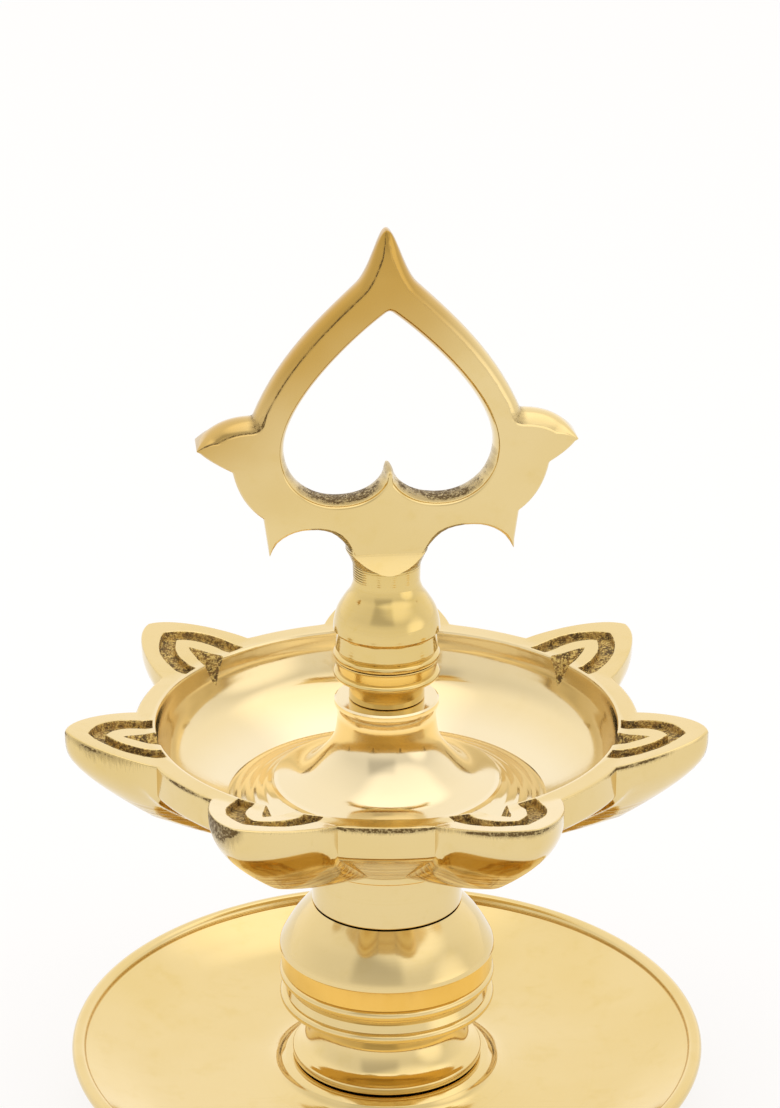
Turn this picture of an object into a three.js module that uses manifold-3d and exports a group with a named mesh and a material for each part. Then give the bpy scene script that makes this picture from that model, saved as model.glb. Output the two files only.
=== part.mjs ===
// A brass oil lamp with seven spouts, a heart-shaped hanging loop and a drip dish on a foot ring.
// Millimetres, +Z up. The origin is the centre of the foot ring's standing face, and -Y is the front.
// The lamp screws together from the dish up: stem, ring, bowl, beaded collar and loop.

import * as THREE from 'three';
import { mergeVertices } from 'three/addons/utils/BufferGeometryUtils.js';
import Module from 'manifold-3d';

const wasm = await Module();
wasm.setup();
const mergeDistance = 1e-4;

// Gaps between pieces
const seatGap = 0.3;
const threadClearance = 0.3;

// Drip dish with its foot ring
const dishRadius = 75;
const dishHeight = 20.7;
const dishLip = 3.4;
const dishFloor = 10.8;
const dishWall = 3.6;
const dishSeatRadius = 24;
const dishSeatHeight = 15;
const footRadius = 46.5;
const footWidth = 5.5;

// Stem below the bowl
const stemHeight = 40.5;
const stemNeckRadius = 17.6;
const stemBellRadius = 25.4;
const stemWaistRadius = 16.5;
const stemFootRadius = 22.5;
const stemBeadHeight = 2.6;

// Plain ring between the stem and the bowl
const ringHeight = 12.2;

// Bowl, with its heights measured from the plane of the rim
const bowlDepth = 33.4;
const bowlFootRadius = 20;
const bowlFootBand = 2.2;
const rimInnerRadius = 53;
const rimOuterRadius = 58;
const rimEdge = 0.6;
const rimWallDepth = 7.8;
const oilDepth = 19.4;
const floorStep = 2.4;
const bossRadius = 26.4;
const bossFootDepth = 14.9;
const bossNeckRadius = 11.4;
const bossTopRadius = 12;
const bossRise = 5.4;

// Spouts, and the grooves cast into their tops
const spoutCount = 7;
const spoutTip = 74.2;
const spoutHalfWidth = 15.4;
const spoutRise = 4.2;
const spoutRiseStart = 55.2;
const spoutWallDepth = 11.5;
const keelBelly = 0.16;
const keelSharpness = 3.4;
const rimSharpness = 28;
const grooveDepth = 1.6;
const grooveTip = 69;
const grooveHalfWidth = 10.4;
const bandTip = 65;
const bandHalfWidth = 6;
const channelTip = 61;
const channelHalfWidth = 4.3;
const channelDepth = 6;

// Beaded collar between the bowl and the loop
const collarHeight = 9.6;
const collarBeadRadius = 12.2;
const collarNeckRadius = 8.7;
const collarBeadHeight = 1.6;
const collarNeckHeight = 4.7;

// Turned foot of the loop: its band, bell and neck
const bellRadius = 12.2;
const bellFootHeight = 7.1;
const bellHeight = 19.4;
const neckRadius = 7.6;
const neckHeight = 22.2;

// Heart-shaped plate of the loop: each height is measured from the top of the neck
const loopThickness = 9;
const loopTurn = 6;
const loopBevel = 2.2;
const heartHeight = 78.2;
const heartTipReach = 6.8;
const heartTipLength = 12.2;
const upperNotchReach = 29.9;
const upperNotchHeight = 36.2;
const leafReach = 42.5;
const leafHeight = 29.9;
const lowerNotchReach = 35.4;
const lowerNotchHeight = 24.4;
const spikeNotchReach = 28.7;
const spikeNotchHeight = 13.2;
const spikeReach = 27.5;
const spikeHeight = 4.4;
const archReach = 18;
const archHeight = 9.6;
const archFootHeight = 4;
const cornerShift = 0.8;

// Heart-shaped opening in the plate, with its heights measured the same way
const openingDraft = 1.3;
const openingShift = 0.4;
const openingTop = 60.1;
const openingReach = 23.4;
const openingWidestHeight = 28.7;
const lobeReach = 11.4;
const lobeHeight = 16.6;
const cuspHeight = 25.4;

// Threaded studs and the fastening under the dish
const loopStudRadius = 4;
const loopStudPitch = 1.8;
const loopSocketDepth = 15.4;
const bossSocketDepth = 12.6;
const bowlStudRadius = 6;
const bowlStudPitch = 2.2;
const bowlSocketDepth = 15;
const stemSocketDepth = 15.6;
const baseStudRadius = 4;
const baseStudPitch = 1.5;
const baseSocketDepth = 14;
const threadDepth = 0.65;
const washerRadius = 9;
const washerHeight = 1.6;
const nutAcrossFlats = 13;
const nutHeight = 6.5;
const dishUnderside = 11;
const studEndGap = 0.3;

// Facets round a turned piece, a threaded stud and one thread pitch
const turnedSides = 32;
const dishSides = 48;
const studSides = 8;
const threadSteps = 3;
const sideSteps = 6;

// Levels of the stacked pieces
const stemBottom = dishSeatHeight + seatGap;
const stemTop = stemBottom + stemHeight;
const ringBottom = stemTop + seatGap;
const ringTop = ringBottom + ringHeight;
const bowlBottom = ringTop + seatGap;
const rimPlane = bowlBottom + bowlDepth;
const bossTop = rimPlane + bossRise;
const collarBottom = bossTop + seatGap;
const collarTop = collarBottom + collarHeight;
const loopBottom = collarTop + seatGap;

const v2 = (x, y) => new THREE.Vector2(x, y);

// Finishes
const brass = (color, roughness) => new THREE.MeshStandardMaterial({ color, roughness, metalness: 1 });
const castBrass = () => brass(0xdcc07e, 0.16);
const turnedBrass = () => brass(0xd8b764, 0.2);
const studBrass = () => brass(0xb99445, 0.4);
const zincSteel = () => new THREE.MeshStandardMaterial({ color: 0xb8b9b4, roughness: 0.4, metalness: 1 });

// Closed three.js geometry to solid, and back
function toSolid(geometry) {
  const bare = geometry.clone();
  bare.deleteAttribute('normal');
  bare.deleteAttribute('uv');
  const merged = mergeVertices(bare, mergeDistance);
  const mesh = new wasm.Mesh({
    numProp: 3,
    vertProperties: new Float32Array(merged.attributes.position.array),
    triVerts: new Uint32Array(merged.index.array),
  });
  return new wasm.Manifold(mesh);
}

function toGeometry(solid) {
  const mesh = solid.getMesh();
  const geometry = new THREE.BufferGeometry();
  geometry.setAttribute('position', new THREE.BufferAttribute(new Float32Array(mesh.vertProperties), 3));
  geometry.setIndex(new THREE.BufferAttribute(new Uint32Array(mesh.triVerts), 1));
  geometry.computeVertexNormals();
  return geometry;
}

// Turned solid: the profile runs from the axis at the bottom, up the outside and back to the axis
function turned(profile, sides = turnedSides) {
  return new THREE.LatheGeometry(profile, sides).rotateX(Math.PI / 2);
}

// Half-round bead on a turned profile, from its lower edge to its upper edge
function bead(radius, bottom, height, steps = 4) {
  const points = [];
  for (let i = 0; i <= steps; i++) {
    const angle = -Math.PI / 2 + (Math.PI * i) / steps;
    const back = (height / 2) * (1 - Math.cos(angle));
    points.push(v2(radius - back, bottom + (height / 2) * (1 + Math.sin(angle))));
  }
  return points;
}

// Points of a smooth curve through the given ones
function smooth(points, steps) {
  return new THREE.SplineCurve(points).getPoints(steps);
}

// Threaded rod standing on the given height, with chamfered ends
function threadedRod(radius, pitch, bottom, length) {
  const rows = Math.round((length / pitch) * threadSteps);
  const rod = new THREE.CylinderGeometry(radius, radius, length, studSides, rows).rotateX(Math.PI / 2);
  const position = rod.attributes.position;
  for (let i = 0; i < position.count; i++) {
    const [x, y, z] = [position.getX(i), position.getY(i), position.getZ(i)];
    const distance = Math.hypot(x, y);
    if (distance < radius / 2) continue;
    const turn = (((z / pitch - Math.atan2(y, x) / (2 * Math.PI)) % 1) + 1) % 1;
    const fromEnd = length / 2 - Math.abs(z);
    const cut = fromEnd < pitch / threadSteps ? threadDepth : threadDepth * Math.abs(2 * turn - 1);
    const scale = (radius - cut) / distance;
    position.setXY(i, x * scale, y * scale);
  }
  return rod.translate(0, 0, bottom + length / 2);
}

// Dish, its raised centre seat and the foot ring under it
function dripDish() {
  const bore = baseStudRadius + threadClearance;
  const lipBottom = dishHeight - dishLip;
  const underFloor = dishFloor - dishWall;
  const footTop = underFloor - 0.4;
  const footInner = footRadius - footWidth;
  const lipCentre = dishRadius - dishLip / 2;
  const lip = [];
  for (let degrees = -40; degrees <= 200; degrees += 40) {
    const angle = THREE.MathUtils.degToRad(degrees);
    const drop = (dishLip / 2) * (1 - Math.sin(angle));
    lip.push(v2(lipCentre + (dishLip / 2) * Math.cos(angle), dishHeight - drop));
  }
  return turned([
    v2(bore, dishUnderside),
    v2(dishSeatRadius - 4, dishUnderside),
    v2(dishSeatRadius, dishUnderside - 2),
    v2(dishSeatRadius + 6, underFloor),
    v2(footInner - 1, underFloor),
    v2(footInner, 0),
    v2(footRadius, 0),
    v2(footRadius - 1.6, footTop / 2),
    v2(footRadius - 1.2, footTop),
    v2(dishRadius * 0.76, underFloor + 1.2),
    v2(dishRadius * 0.87, lipBottom - 5.6),
    v2(dishRadius * 0.95, lipBottom - 1.6),
    ...lip,
    v2(dishRadius * 0.88, lipBottom - 1.8),
    v2(dishRadius * 0.77, dishFloor + 1.4),
    v2(dishRadius * 0.64, dishFloor),
    v2(dishRadius * 0.44, dishFloor),
    v2(dishSeatRadius + 3, dishFloor + 1.2),
    v2(dishSeatRadius + 1.2, dishSeatHeight - 0.9),
    v2(dishSeatRadius, dishSeatHeight),
    v2(bore, dishSeatHeight),
    v2(bore, dishUnderside),
  ], dishSides);
}

// Stem: flared foot, waist, two beads and a bell that closes in to the ring above
function lowerStem() {
  const bowlBore = bowlStudRadius + threadClearance;
  const baseBore = baseStudRadius + threadClearance;
  const waistTop = stemBottom + stemHeight * 0.34;
  const lowerBead = waistTop + 1;
  const upperBead = lowerBead + stemBeadHeight + 3.4;
  const bandBottom = upperBead + stemBeadHeight + 0.3;
  const bandTop = bandBottom + 4.6;
  const bandRadius = stemBellRadius - 0.5;
  return turned([
    v2(0, stemBottom + baseSocketDepth),
    v2(baseBore, stemBottom + baseSocketDepth),
    v2(baseBore, stemBottom),
    v2(stemFootRadius, stemBottom),
    v2(stemFootRadius, stemBottom + 1.8),
    v2(stemWaistRadius + 2.6, stemBottom + 3.6),
    v2(stemWaistRadius + 0.5, stemBottom + 7),
    v2(stemWaistRadius, stemBottom + 10),
    v2(stemWaistRadius + 1.2, waistTop),
    ...bead(stemBellRadius, lowerBead, stemBeadHeight),
    v2(bandRadius - 1.4, lowerBead + stemBeadHeight + 1.7),
    ...bead(stemBellRadius, upperBead, stemBeadHeight),
    v2(bandRadius, bandBottom),
    v2(bandRadius, bandTop),
    v2(stemBellRadius, bandTop + 0.5),
    v2(stemBellRadius - 0.6, bandTop + 2.4),
    v2(stemNeckRadius + 4.3, stemTop - 5.1),
    v2(stemNeckRadius, stemTop),
    v2(bowlBore, stemTop),
    v2(bowlBore, stemTop - stemSocketDepth),
    v2(0, stemTop - stemSocketDepth),
  ]);
}

// Plain ring that spaces the bowl off the stem
function stemRing() {
  const bore = bowlStudRadius + threadClearance;
  const edge = 0.4;
  return turned([
    v2(bore, ringBottom),
    v2(stemNeckRadius - edge, ringBottom),
    v2(stemNeckRadius, ringBottom + edge),
    v2(stemNeckRadius, ringTop - edge),
    v2(stemNeckRadius - edge, ringTop),
    v2(bore, ringTop),
    v2(bore, ringBottom),
  ]);
}

// Places round the rim, each with its angle from the front and how far the outline reaches out there
function rimStations() {
  const pitch = (2 * Math.PI) / spoutCount;
  const notch = v2(Math.sqrt(rimOuterRadius ** 2 - spoutHalfWidth ** 2), spoutHalfWidth);
  const length = spoutTip - notch.x;
  const shoulder = v2(notch.x + length * 0.31, spoutHalfWidth * 0.9);
  const nose = v2(spoutTip - length * 0.08, spoutHalfWidth * 0.48);
  const side = new THREE.CubicBezierCurve(notch, shoulder, nose, v2(spoutTip, 0)).getPoints(sideSteps);
  const stations = [];
  for (let k = 0; k < spoutCount; k++) {
    const axis = (k + 0.5) * pitch;
    stations.push({ angle: axis - pitch / 2, reach: rimOuterRadius });
    for (const p of side) stations.push({ angle: axis - Math.atan2(p.y, p.x), reach: p.length() });
    for (const p of side.slice(0, -1).reverse()) {
      stations.push({ angle: axis + Math.atan2(p.y, p.x), reach: p.length() });
    }
  }
  stations.push({ angle: 2 * Math.PI, reach: rimOuterRadius });
  return stations;
}

// Height of a spout's top face above the rim plane, at a distance out along the spout
function spoutTop(out) {
  return Math.max(0, (spoutRise * (out - spoutRiseStart)) / (spoutTip - spoutRiseStart));
}

// How sharply the side turns under: a crisp edge between two spouts, a round keel on a spout
function sharpness(fullness) {
  return keelSharpness + fullness + (rimSharpness - keelSharpness) * (1 - fullness) ** 12;
}

// Point of the outside, a share of the way round from the foot to the rim
function outsidePoint(reach, share) {
  const fullness = (reach - rimOuterRadius) / (spoutTip - rimOuterRadius);
  const power = sharpness(fullness);
  const direction = (Math.PI / 2) * (1 - share);
  const length = (Math.cos(direction) ** power + Math.sin(direction) ** power) ** (-1 / power);
  const reachShare = length * Math.cos(direction);
  const depthShare = length * Math.sin(direction);
  const footDepth = bowlDepth - bowlFootBand;
  const wallDepth = rimWallDepth + (spoutWallDepth - rimWallDepth) * Math.sqrt(fullness);
  const radius = bowlFootRadius + rimEdge + (reach - bowlFootRadius - rimEdge) * reachShare;
  const climb = (footDepth - wallDepth) * reachShare ** (1 + keelBelly * Math.sqrt(fullness));
  return v2(radius, -(footDepth - climb) * depthShare);
}

// Shell of the bowl: its outside swells from a turned foot into the spouts
function bowlShell() {
  const rows = [0, 0.14, 0.27, 0.37, 0.44, 0.5, 0.58, 0.7, 0.84];
  const wall = smooth([
    v2(rimInnerRadius, 0),
    v2(rimInnerRadius * 0.97, -oilDepth * 0.32),
    v2(rimInnerRadius * 0.87, -oilDepth * 0.67),
    v2(rimInnerRadius * 0.7, -oilDepth),
    v2(bossRadius, -bossFootDepth - floorStep),
  ], 7);
  const profileAt = (reach) => [
    v2(0, -bowlDepth),
    v2(bowlFootRadius, -bowlDepth),
    ...rows.map((row) => outsidePoint(reach, row)),
    v2(reach, -rimEdge),
    v2(reach - rimEdge, 0),
    v2(spoutRiseStart, 0),
    ...wall,
    v2(0, -bossFootDepth - floorStep),
  ];

  const pitch = (2 * Math.PI) / spoutCount;
  const stations = rimStations();
  const lathe = new THREE.LatheGeometry(profileAt(rimOuterRadius), stations.length - 1);
  const position = lathe.attributes.position;
  stations.forEach(({ angle, reach }, i) => {
    const fromSpout = (angle % pitch) - pitch / 2;
    const profile = profileAt(reach);
    profile.forEach(({ x: radius, y: height }, j) => {
      const rise = spoutTop(radius * Math.cos(fromSpout));
      const index = i * profile.length + j;
      position.setXYZ(index, radius * Math.sin(angle), height + rise, radius * Math.cos(angle));
    });
  });
  return toSolid(lathe.rotateX(Math.PI / 2));
}

// Trumpet-shaped boss that stands in the bowl, taller than the rim so that its socket stays clear of oil
function bowlBoss() {
  const flare = smooth([
    v2(bossRadius, -bossFootDepth),
    v2(bossRadius * 0.77, -bossFootDepth * 0.9),
    v2(bossRadius * 0.59, -bossFootDepth * 0.63),
    v2(bossRadius * 0.47, -bossFootDepth * 0.33),
    v2(bossNeckRadius, 0),
  ], 7);
  return toSolid(turned([
    v2(0, -bossFootDepth - 4),
    v2(bossRadius - 1, -bossFootDepth - 4),
    v2(bossRadius, -bossFootDepth - 1),
    ...flare,
    v2(bossTopRadius, bossRise - 1.4),
    v2(bossTopRadius, bossRise - 0.3),
    v2(bossTopRadius - 0.3, bossRise),
    v2(0, bossRise),
  ]));
}

// Round plug that cuts a stud's socket
function socket(radius, from, to) {
  const bore = radius + threadClearance;
  return toSolid(turned([v2(0, from), v2(bore, from), v2(bore, to), v2(0, to)]));
}

// Pocket sunk into the tops of the spouts: its outline lies in plan, its floor follows floorAt
function pocket(outline, floorAt) {
  const over = spoutRise + 4;
  const block = new THREE.ExtrudeGeometry(new THREE.Shape(outline), { depth: 1, bevelEnabled: false });
  const position = block.attributes.position;
  for (let i = 0; i < position.count; i++) {
    position.setZ(i, position.getZ(i) > 0.5 ? over : floorAt(position.getX(i)));
  }
  return toSolid(block);
}

// Pointed arch in plan, from its half-width at the rim to its tip
function archSide(start, halfWidth, tip, swell) {
  const shoulder = v2(start + (tip - start) * swell, halfWidth);
  return new THREE.QuadraticBezierCurve(v2(start, halfWidth), shoulder, v2(tip, 0)).getPoints(5);
}

function mirrored(points) {
  return points.map((p) => v2(p.x, -p.y)).reverse();
}

// Arch-shaped groove round the raised band of one spout
function spoutGroove() {
  const start = rimInnerRadius - 4;
  const outer = archSide(start, grooveHalfWidth, grooveTip, 0.75);
  const inner = archSide(start, bandHalfWidth, bandTip, 0.72);
  const outerArch = [...outer, ...mirrored(outer).slice(1)];
  const innerArch = [...inner, ...mirrored(inner).slice(1)].reverse();
  return pocket([...outerArch, ...innerArch], (out) => spoutTop(out) - grooveDepth);
}

// Wedge-shaped channel that carries the wick from the oil up to the band
function wickChannel() {
  const start = rimInnerRadius * 0.952;
  const side = archSide(start, channelHalfWidth * 1.1, channelTip, 0.45);
  const slope = channelDepth / (channelTip - start);
  return pocket([...side, ...mirrored(side).slice(1)], (out) => spoutTop(out) - slope * (channelTip - out));
}

function lampBowl() {
  let bowl = bowlShell().add(bowlBoss());
  for (let k = 0; k < spoutCount; k++) {
    const turn = 90 + (360 / spoutCount) * k;
    for (const cut of [spoutGroove(), wickChannel()]) bowl = bowl.subtract(cut.rotate([0, 0, turn]));
  }
  bowl = bowl.subtract(socket(bowlStudRadius, -bowlDepth - 1, bowlSocketDepth - bowlDepth));
  bowl = bowl.subtract(socket(loopStudRadius, bossRise - bossSocketDepth, bossRise + 1));
  return toGeometry(bowl).translate(0, 0, rimPlane);
}

// Loose collar: a short neck, a lip, a bead and a cove
function beadedCollar() {
  const bore = loopStudRadius + threadClearance;
  const neckTop = collarBottom + collarNeckHeight;
  return turned([
    v2(bore, collarBottom),
    v2(collarNeckRadius, collarBottom),
    v2(collarNeckRadius, neckTop),
    v2(collarBeadRadius - 0.9, neckTop + 0.5),
    ...bead(collarBeadRadius, neckTop + 0.7, collarBeadHeight),
    v2(collarBeadRadius - 0.7, collarTop - 1.9),
    v2(collarBeadRadius - 0.5, collarTop - 0.9),
    v2(collarBeadRadius - 0.3, collarTop),
    v2(bore, collarTop),
    v2(bore, collarBottom),
  ]);
}

// Right half of the plate's outline, from the tip down to the neck
function loopOutline() {
  const tip = v2(0, heartHeight);
  const tipFoot = v2(heartTipReach, heartHeight - heartTipLength);
  const upperNotch = v2(upperNotchReach, upperNotchHeight);
  const leaf = v2(leafReach, leafHeight);
  const lowerNotch = v2(lowerNotchReach, lowerNotchHeight);
  const spikeNotch = v2(spikeNotchReach, spikeNotchHeight);
  const spike = v2(spikeReach, spikeHeight);
  const archFoot = v2(neckRadius * 1.22, archFootHeight);
  const neck = v2(neckRadius * 0.95, -archFootHeight * 0.2);
  const fall = tipFoot.y - upperNotch.y;
  const run = upperNotch.x - tipFoot.x;
  const path = new THREE.Path();
  path.moveTo(tip.x, tip.y);
  path.bezierCurveTo(tipFoot.x * 0.3, tip.y - heartTipLength * 0.36, tipFoot.x * 0.53,
    tip.y - heartTipLength * 0.74, tipFoot.x, tipFoot.y);
  path.bezierCurveTo(tipFoot.x + run * 0.34, tipFoot.y - fall * 0.25, tipFoot.x + run * 0.76,
    tipFoot.y - fall * 0.55, upperNotch.x, upperNotch.y);
  path.quadraticCurveTo(leaf.x * 0.91, upperNotch.y, leaf.x, leaf.y);
  path.quadraticCurveTo(leaf.x * 0.95, (leaf.y + lowerNotch.y) / 2, lowerNotch.x, lowerNotch.y);
  const lobe = v2(lowerNotch.x * 0.96, (spikeNotch.y * 2 + lowerNotch.y) / 3);
  path.quadraticCurveTo(lobe.x, lobe.y, spikeNotch.x, spikeNotch.y);
  path.lineTo(spike.x, spike.y);
  path.bezierCurveTo(archReach * 1.33, archHeight * 1.21, archReach * 0.72, archHeight * 1.25,
    archFoot.x, archFoot.y);
  path.quadraticCurveTo(neckRadius * 1.05, archFoot.y * 0.45, neck.x, neck.y);
  return path.getPoints(5);
}

// Right half of the heart-shaped opening, from its apex down to the cusp between its lobes
function openingOutline() {
  const fall = openingTop - openingWidestHeight;
  const drop = openingWidestHeight - lobeHeight;
  const path = new THREE.Path();
  path.moveTo(0, openingTop);
  path.bezierCurveTo(openingReach * 0.29, openingTop - fall * 0.156, openingReach,
    openingWidestHeight + fall * 0.36, openingReach, openingWidestHeight);
  path.bezierCurveTo(openingReach, openingWidestHeight - drop * 0.61, openingReach * 0.765, lobeHeight,
    lobeReach, lobeHeight);
  const rise = cuspHeight - lobeHeight;
  path.bezierCurveTo(lobeReach * 0.58, lobeHeight, lobeReach * 0.22, lobeHeight + rise * 0.27, 0, cuspHeight);
  return path.getPoints(7);
}

// Both halves of an outline; a casting filed by hand has its lower corners a little to one side
function bothHalves(half, shiftAt) {
  const right = half.map((p) => v2(p.x + shiftAt(p), p.y));
  const left = half.filter((p) => p.x > 1e-6).map((p) => v2(shiftAt(p) - p.x, p.y));
  return [...right, ...left.reverse()];
}

// Unit step square to the outline at point i, towards its left-hand side
function squareTo(outline, i) {
  const count = outline.length;
  const before = outline[(i + count - 1) % count];
  const after = outline[(i + 1) % count];
  const along = after.clone().sub(before).normalize();
  return v2(-along.y, along.x);
}

// Distance from an outline's point to its far side, straight along a step
function roomAlong(outline, i, step) {
  const start = outline[i];
  let room = Infinity;
  outline.forEach((a, j) => {
    const edge = outline[(j + 1) % outline.length].clone().sub(a);
    const gap = a.clone().sub(start);
    const turn = step.cross(edge);
    if (Math.abs(turn) < 1e-9) return;
    const distance = gap.cross(edge) / turn;
    const share = gap.cross(step) / turn;
    if (distance > 0.05 && share >= 0 && share <= 1) room = Math.min(room, distance);
  });
  return room;
}

// Upright plate of an outline whose two faces are drawn in, or let out where inset is negative
function bevelledPlate(outline, thickness, inset) {
  const ordered = THREE.ShapeUtils.isClockWise(outline) ? [...outline].reverse() : outline;
  const settings = { depth: thickness, steps: 2, bevelEnabled: false };
  const plate = new THREE.ExtrudeGeometry(new THREE.Shape(ordered), settings);
  const shifts = ordered.map((p, i) => {
    const step = squareTo(ordered, i);
    const reach = inset > 0 ? Math.min(inset, roomAlong(ordered, i, step) * 0.3) : inset;
    return step.multiplyScalar(reach);
  });
  const position = plate.attributes.position;
  for (let i = 0; i < position.count; i++) {
    if (Math.abs(position.getZ(i) - thickness / 2) < thickness / 4) continue;
    const corner = v2(position.getX(i), position.getY(i));
    const moved = corner.clone().add(shifts[ordered.findIndex((p) => p.distanceTo(corner) < mergeDistance)]);
    position.setXY(i, moved.x, moved.y);
  }
  return toSolid(plate.translate(0, 0, -thickness / 2).rotateX(Math.PI / 2));
}

// Turned foot of the loop: bead, band, bell and the neck that runs up into the plate
function loopNeck() {
  const bore = loopStudRadius + threadClearance;
  return toSolid(turned([
    v2(0, loopSocketDepth),
    v2(bore, loopSocketDepth),
    v2(bore, 0),
    v2(bellRadius - 0.4, 0),
    v2(bellRadius, 0.4),
    v2(bellRadius, 0.9),
    v2(bellRadius - 0.4, 1.4),
    v2(bellRadius - 0.4, bellFootHeight - 0.4),
    v2(bellRadius, bellFootHeight),
    v2(bellRadius - 0.3, bellFootHeight + 3.1),
    v2(bellRadius - 1.7, bellFootHeight + 6.1),
    v2(neckRadius + 1, bellFootHeight + 9),
    v2(neckRadius, bellHeight),
    v2(neckRadius, neckHeight),
    v2(neckRadius - 1.6, neckHeight + 2.4),
    v2(loopThickness / 2 - 0.1, neckHeight + 5),
    v2(loopThickness / 2 - 0.7, neckHeight + 8),
    v2(0, neckHeight + 8),
  ]));
}

function heartLoop() {
  const aside = (p) => THREE.MathUtils.clamp((p.x - neckRadius) / (archReach - neckRadius), 0, 1);
  const cornerAside = (p) => (p.y < leafHeight ? cornerShift * aside(p) : 0);
  const plate = bevelledPlate(bothHalves(loopOutline(), cornerAside), loopThickness, loopBevel);
  const openingPlan = bothHalves(openingOutline(), () => openingShift);
  const opening = bevelledPlate(openingPlan, loopThickness + seatGap, -openingDraft);
  const loop = plate.subtract(opening).translate([0, 0, neckHeight]).add(loopNeck());
  const geometry = toGeometry(loop).rotateZ(THREE.MathUtils.degToRad(loopTurn));
  return geometry.translate(0, 0, loopBottom);
}

// Stud between the loop and the bowl's boss, through the collar
function loopStud() {
  const bottom = bossTop - bossSocketDepth + studEndGap;
  const top = loopBottom + loopSocketDepth - studEndGap;
  return threadedRod(loopStudRadius, loopStudPitch, bottom, top - bottom);
}

// Stud between the bowl and the stem, through the plain ring
function bowlStud() {
  const bottom = stemTop - stemSocketDepth + studEndGap;
  const top = bowlBottom + bowlSocketDepth - studEndGap;
  return threadedRod(bowlStudRadius, bowlStudPitch, bottom, top - bottom);
}

// Stud that holds the stem down on the dish
function baseStud() {
  const bottom = dishUnderside - seatGap * 2 - washerHeight - nutHeight - 1;
  const top = stemBottom + baseSocketDepth - studEndGap;
  return threadedRod(baseStudRadius, baseStudPitch, bottom, top - bottom);
}

function baseWasher() {
  const bore = baseStudRadius + threadClearance;
  const top = dishUnderside - seatGap;
  const bottom = top - washerHeight;
  return turned([
    v2(bore, bottom),
    v2(washerRadius, bottom),
    v2(washerRadius, top),
    v2(bore, top),
    v2(bore, bottom),
  ]);
}

function baseNut() {
  const top = dishUnderside - seatGap * 2 - washerHeight;
  const corner = nutAcrossFlats / Math.sqrt(3);
  const hexagon = new THREE.Shape();
  for (let k = 0; k < 6; k++) {
    const angle = (Math.PI / 3) * k;
    const point = v2(corner * Math.cos(angle), corner * Math.sin(angle));
    if (k === 0) hexagon.moveTo(point.x, point.y);
    else hexagon.lineTo(point.x, point.y);
  }
  const bore = new THREE.Path();
  bore.absarc(0, 0, baseStudRadius + threadClearance, 0, 2 * Math.PI, true);
  hexagon.holes.push(bore);
  const settings = { depth: nutHeight, bevelEnabled: false, curveSegments: 18 };
  return new THREE.ExtrudeGeometry(hexagon, settings).translate(0, 0, top - nutHeight);
}

// One named mesh for each piece, in the order in which the lamp is put together
const lamp = new THREE.Group();
const pieces = [
  ['drip_dish', dripDish(), castBrass()],
  ['lower_stem', lowerStem(), turnedBrass()],
  ['base_stud', baseStud(), zincSteel()],
  ['base_washer', baseWasher(), zincSteel()],
  ['base_nut', baseNut(), zincSteel()],
  ['stem_ring', stemRing(), turnedBrass()],
  ['bowl_stud', bowlStud(), studBrass()],
  ['lamp_bowl', lampBowl(), castBrass()],
  ['beaded_collar', beadedCollar(), turnedBrass()],
  ['loop_stud', loopStud(), studBrass()],
  ['heart_loop', heartLoop(), castBrass()],
];
for (const [name, geometry, material] of pieces) {
  const mesh = new THREE.Mesh(geometry, material);
  mesh.name = name;
  lamp.add(mesh);
}

export default lamp;
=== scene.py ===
# A brass oil lamp with seven spouts, laid out as an add-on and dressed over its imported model.
# Lengths are in metres, +Z is up, and -Y is the front.

import math

import bmesh
import bpy
from bpy.props import FloatProperty, FloatVectorProperty, IntProperty, PointerProperty
from mathutils import Matrix, Vector, noise
from mathutils.geometry import interpolate_bezier
from mathutils.kdtree import KDTree


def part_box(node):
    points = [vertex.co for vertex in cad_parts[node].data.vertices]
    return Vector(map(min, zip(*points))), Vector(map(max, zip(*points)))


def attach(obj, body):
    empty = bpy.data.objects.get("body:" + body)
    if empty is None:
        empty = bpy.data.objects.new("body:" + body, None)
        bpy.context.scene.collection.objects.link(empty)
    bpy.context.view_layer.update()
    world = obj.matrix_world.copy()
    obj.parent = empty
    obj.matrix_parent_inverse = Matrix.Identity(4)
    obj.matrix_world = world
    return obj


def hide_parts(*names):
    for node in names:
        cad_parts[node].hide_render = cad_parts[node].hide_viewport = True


bl_info = {
    "name": "Spouted Brass Lamp",
    "version": (1, 0, 0),
    "blender": (4, 5, 0),
    "location": "3D View > Sidebar > Lamp",
    "description": "Builds a cast and turned brass oil lamp with a heart-shaped hanging loop",
    "category": "Add Mesh",
}

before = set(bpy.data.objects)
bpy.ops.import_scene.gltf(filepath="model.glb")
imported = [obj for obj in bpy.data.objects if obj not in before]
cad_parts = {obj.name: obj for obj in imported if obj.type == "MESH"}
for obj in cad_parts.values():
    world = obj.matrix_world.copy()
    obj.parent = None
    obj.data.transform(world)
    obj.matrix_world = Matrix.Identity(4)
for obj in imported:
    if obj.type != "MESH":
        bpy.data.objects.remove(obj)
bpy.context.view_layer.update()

MM = 0.001
MERGE = 1e-6

# Rounding of turned corners, from the least to the most
CRISP = 0.2 * MM
CORNER = 0.3 * MM
SOFT = 0.4 * MM
WORN = 0.5 * MM
BLUNT = 0.8 * MM

# Steps in each curve of the heart, and the places of an arch's start and top along its outline
PLATE_STEPS = 14
OPENING_STEPS = 24
ARCH_START = 6 * PLATE_STEPS
ARCH_TOP = ARCH_START + PLATE_STEPS // 2

# Place of the second finish on the pieces that have two: the grooves' floor, and the turned neck
SECOND_FINISH = 1

# Seed of the noise by which the cast grooves wander; it may not be zero
GROOVE_SEED = 7

# Spacing of the coarse turning marks left on the loop's neck, in millimetres
RIDGE_SPACING = 0.6

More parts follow.
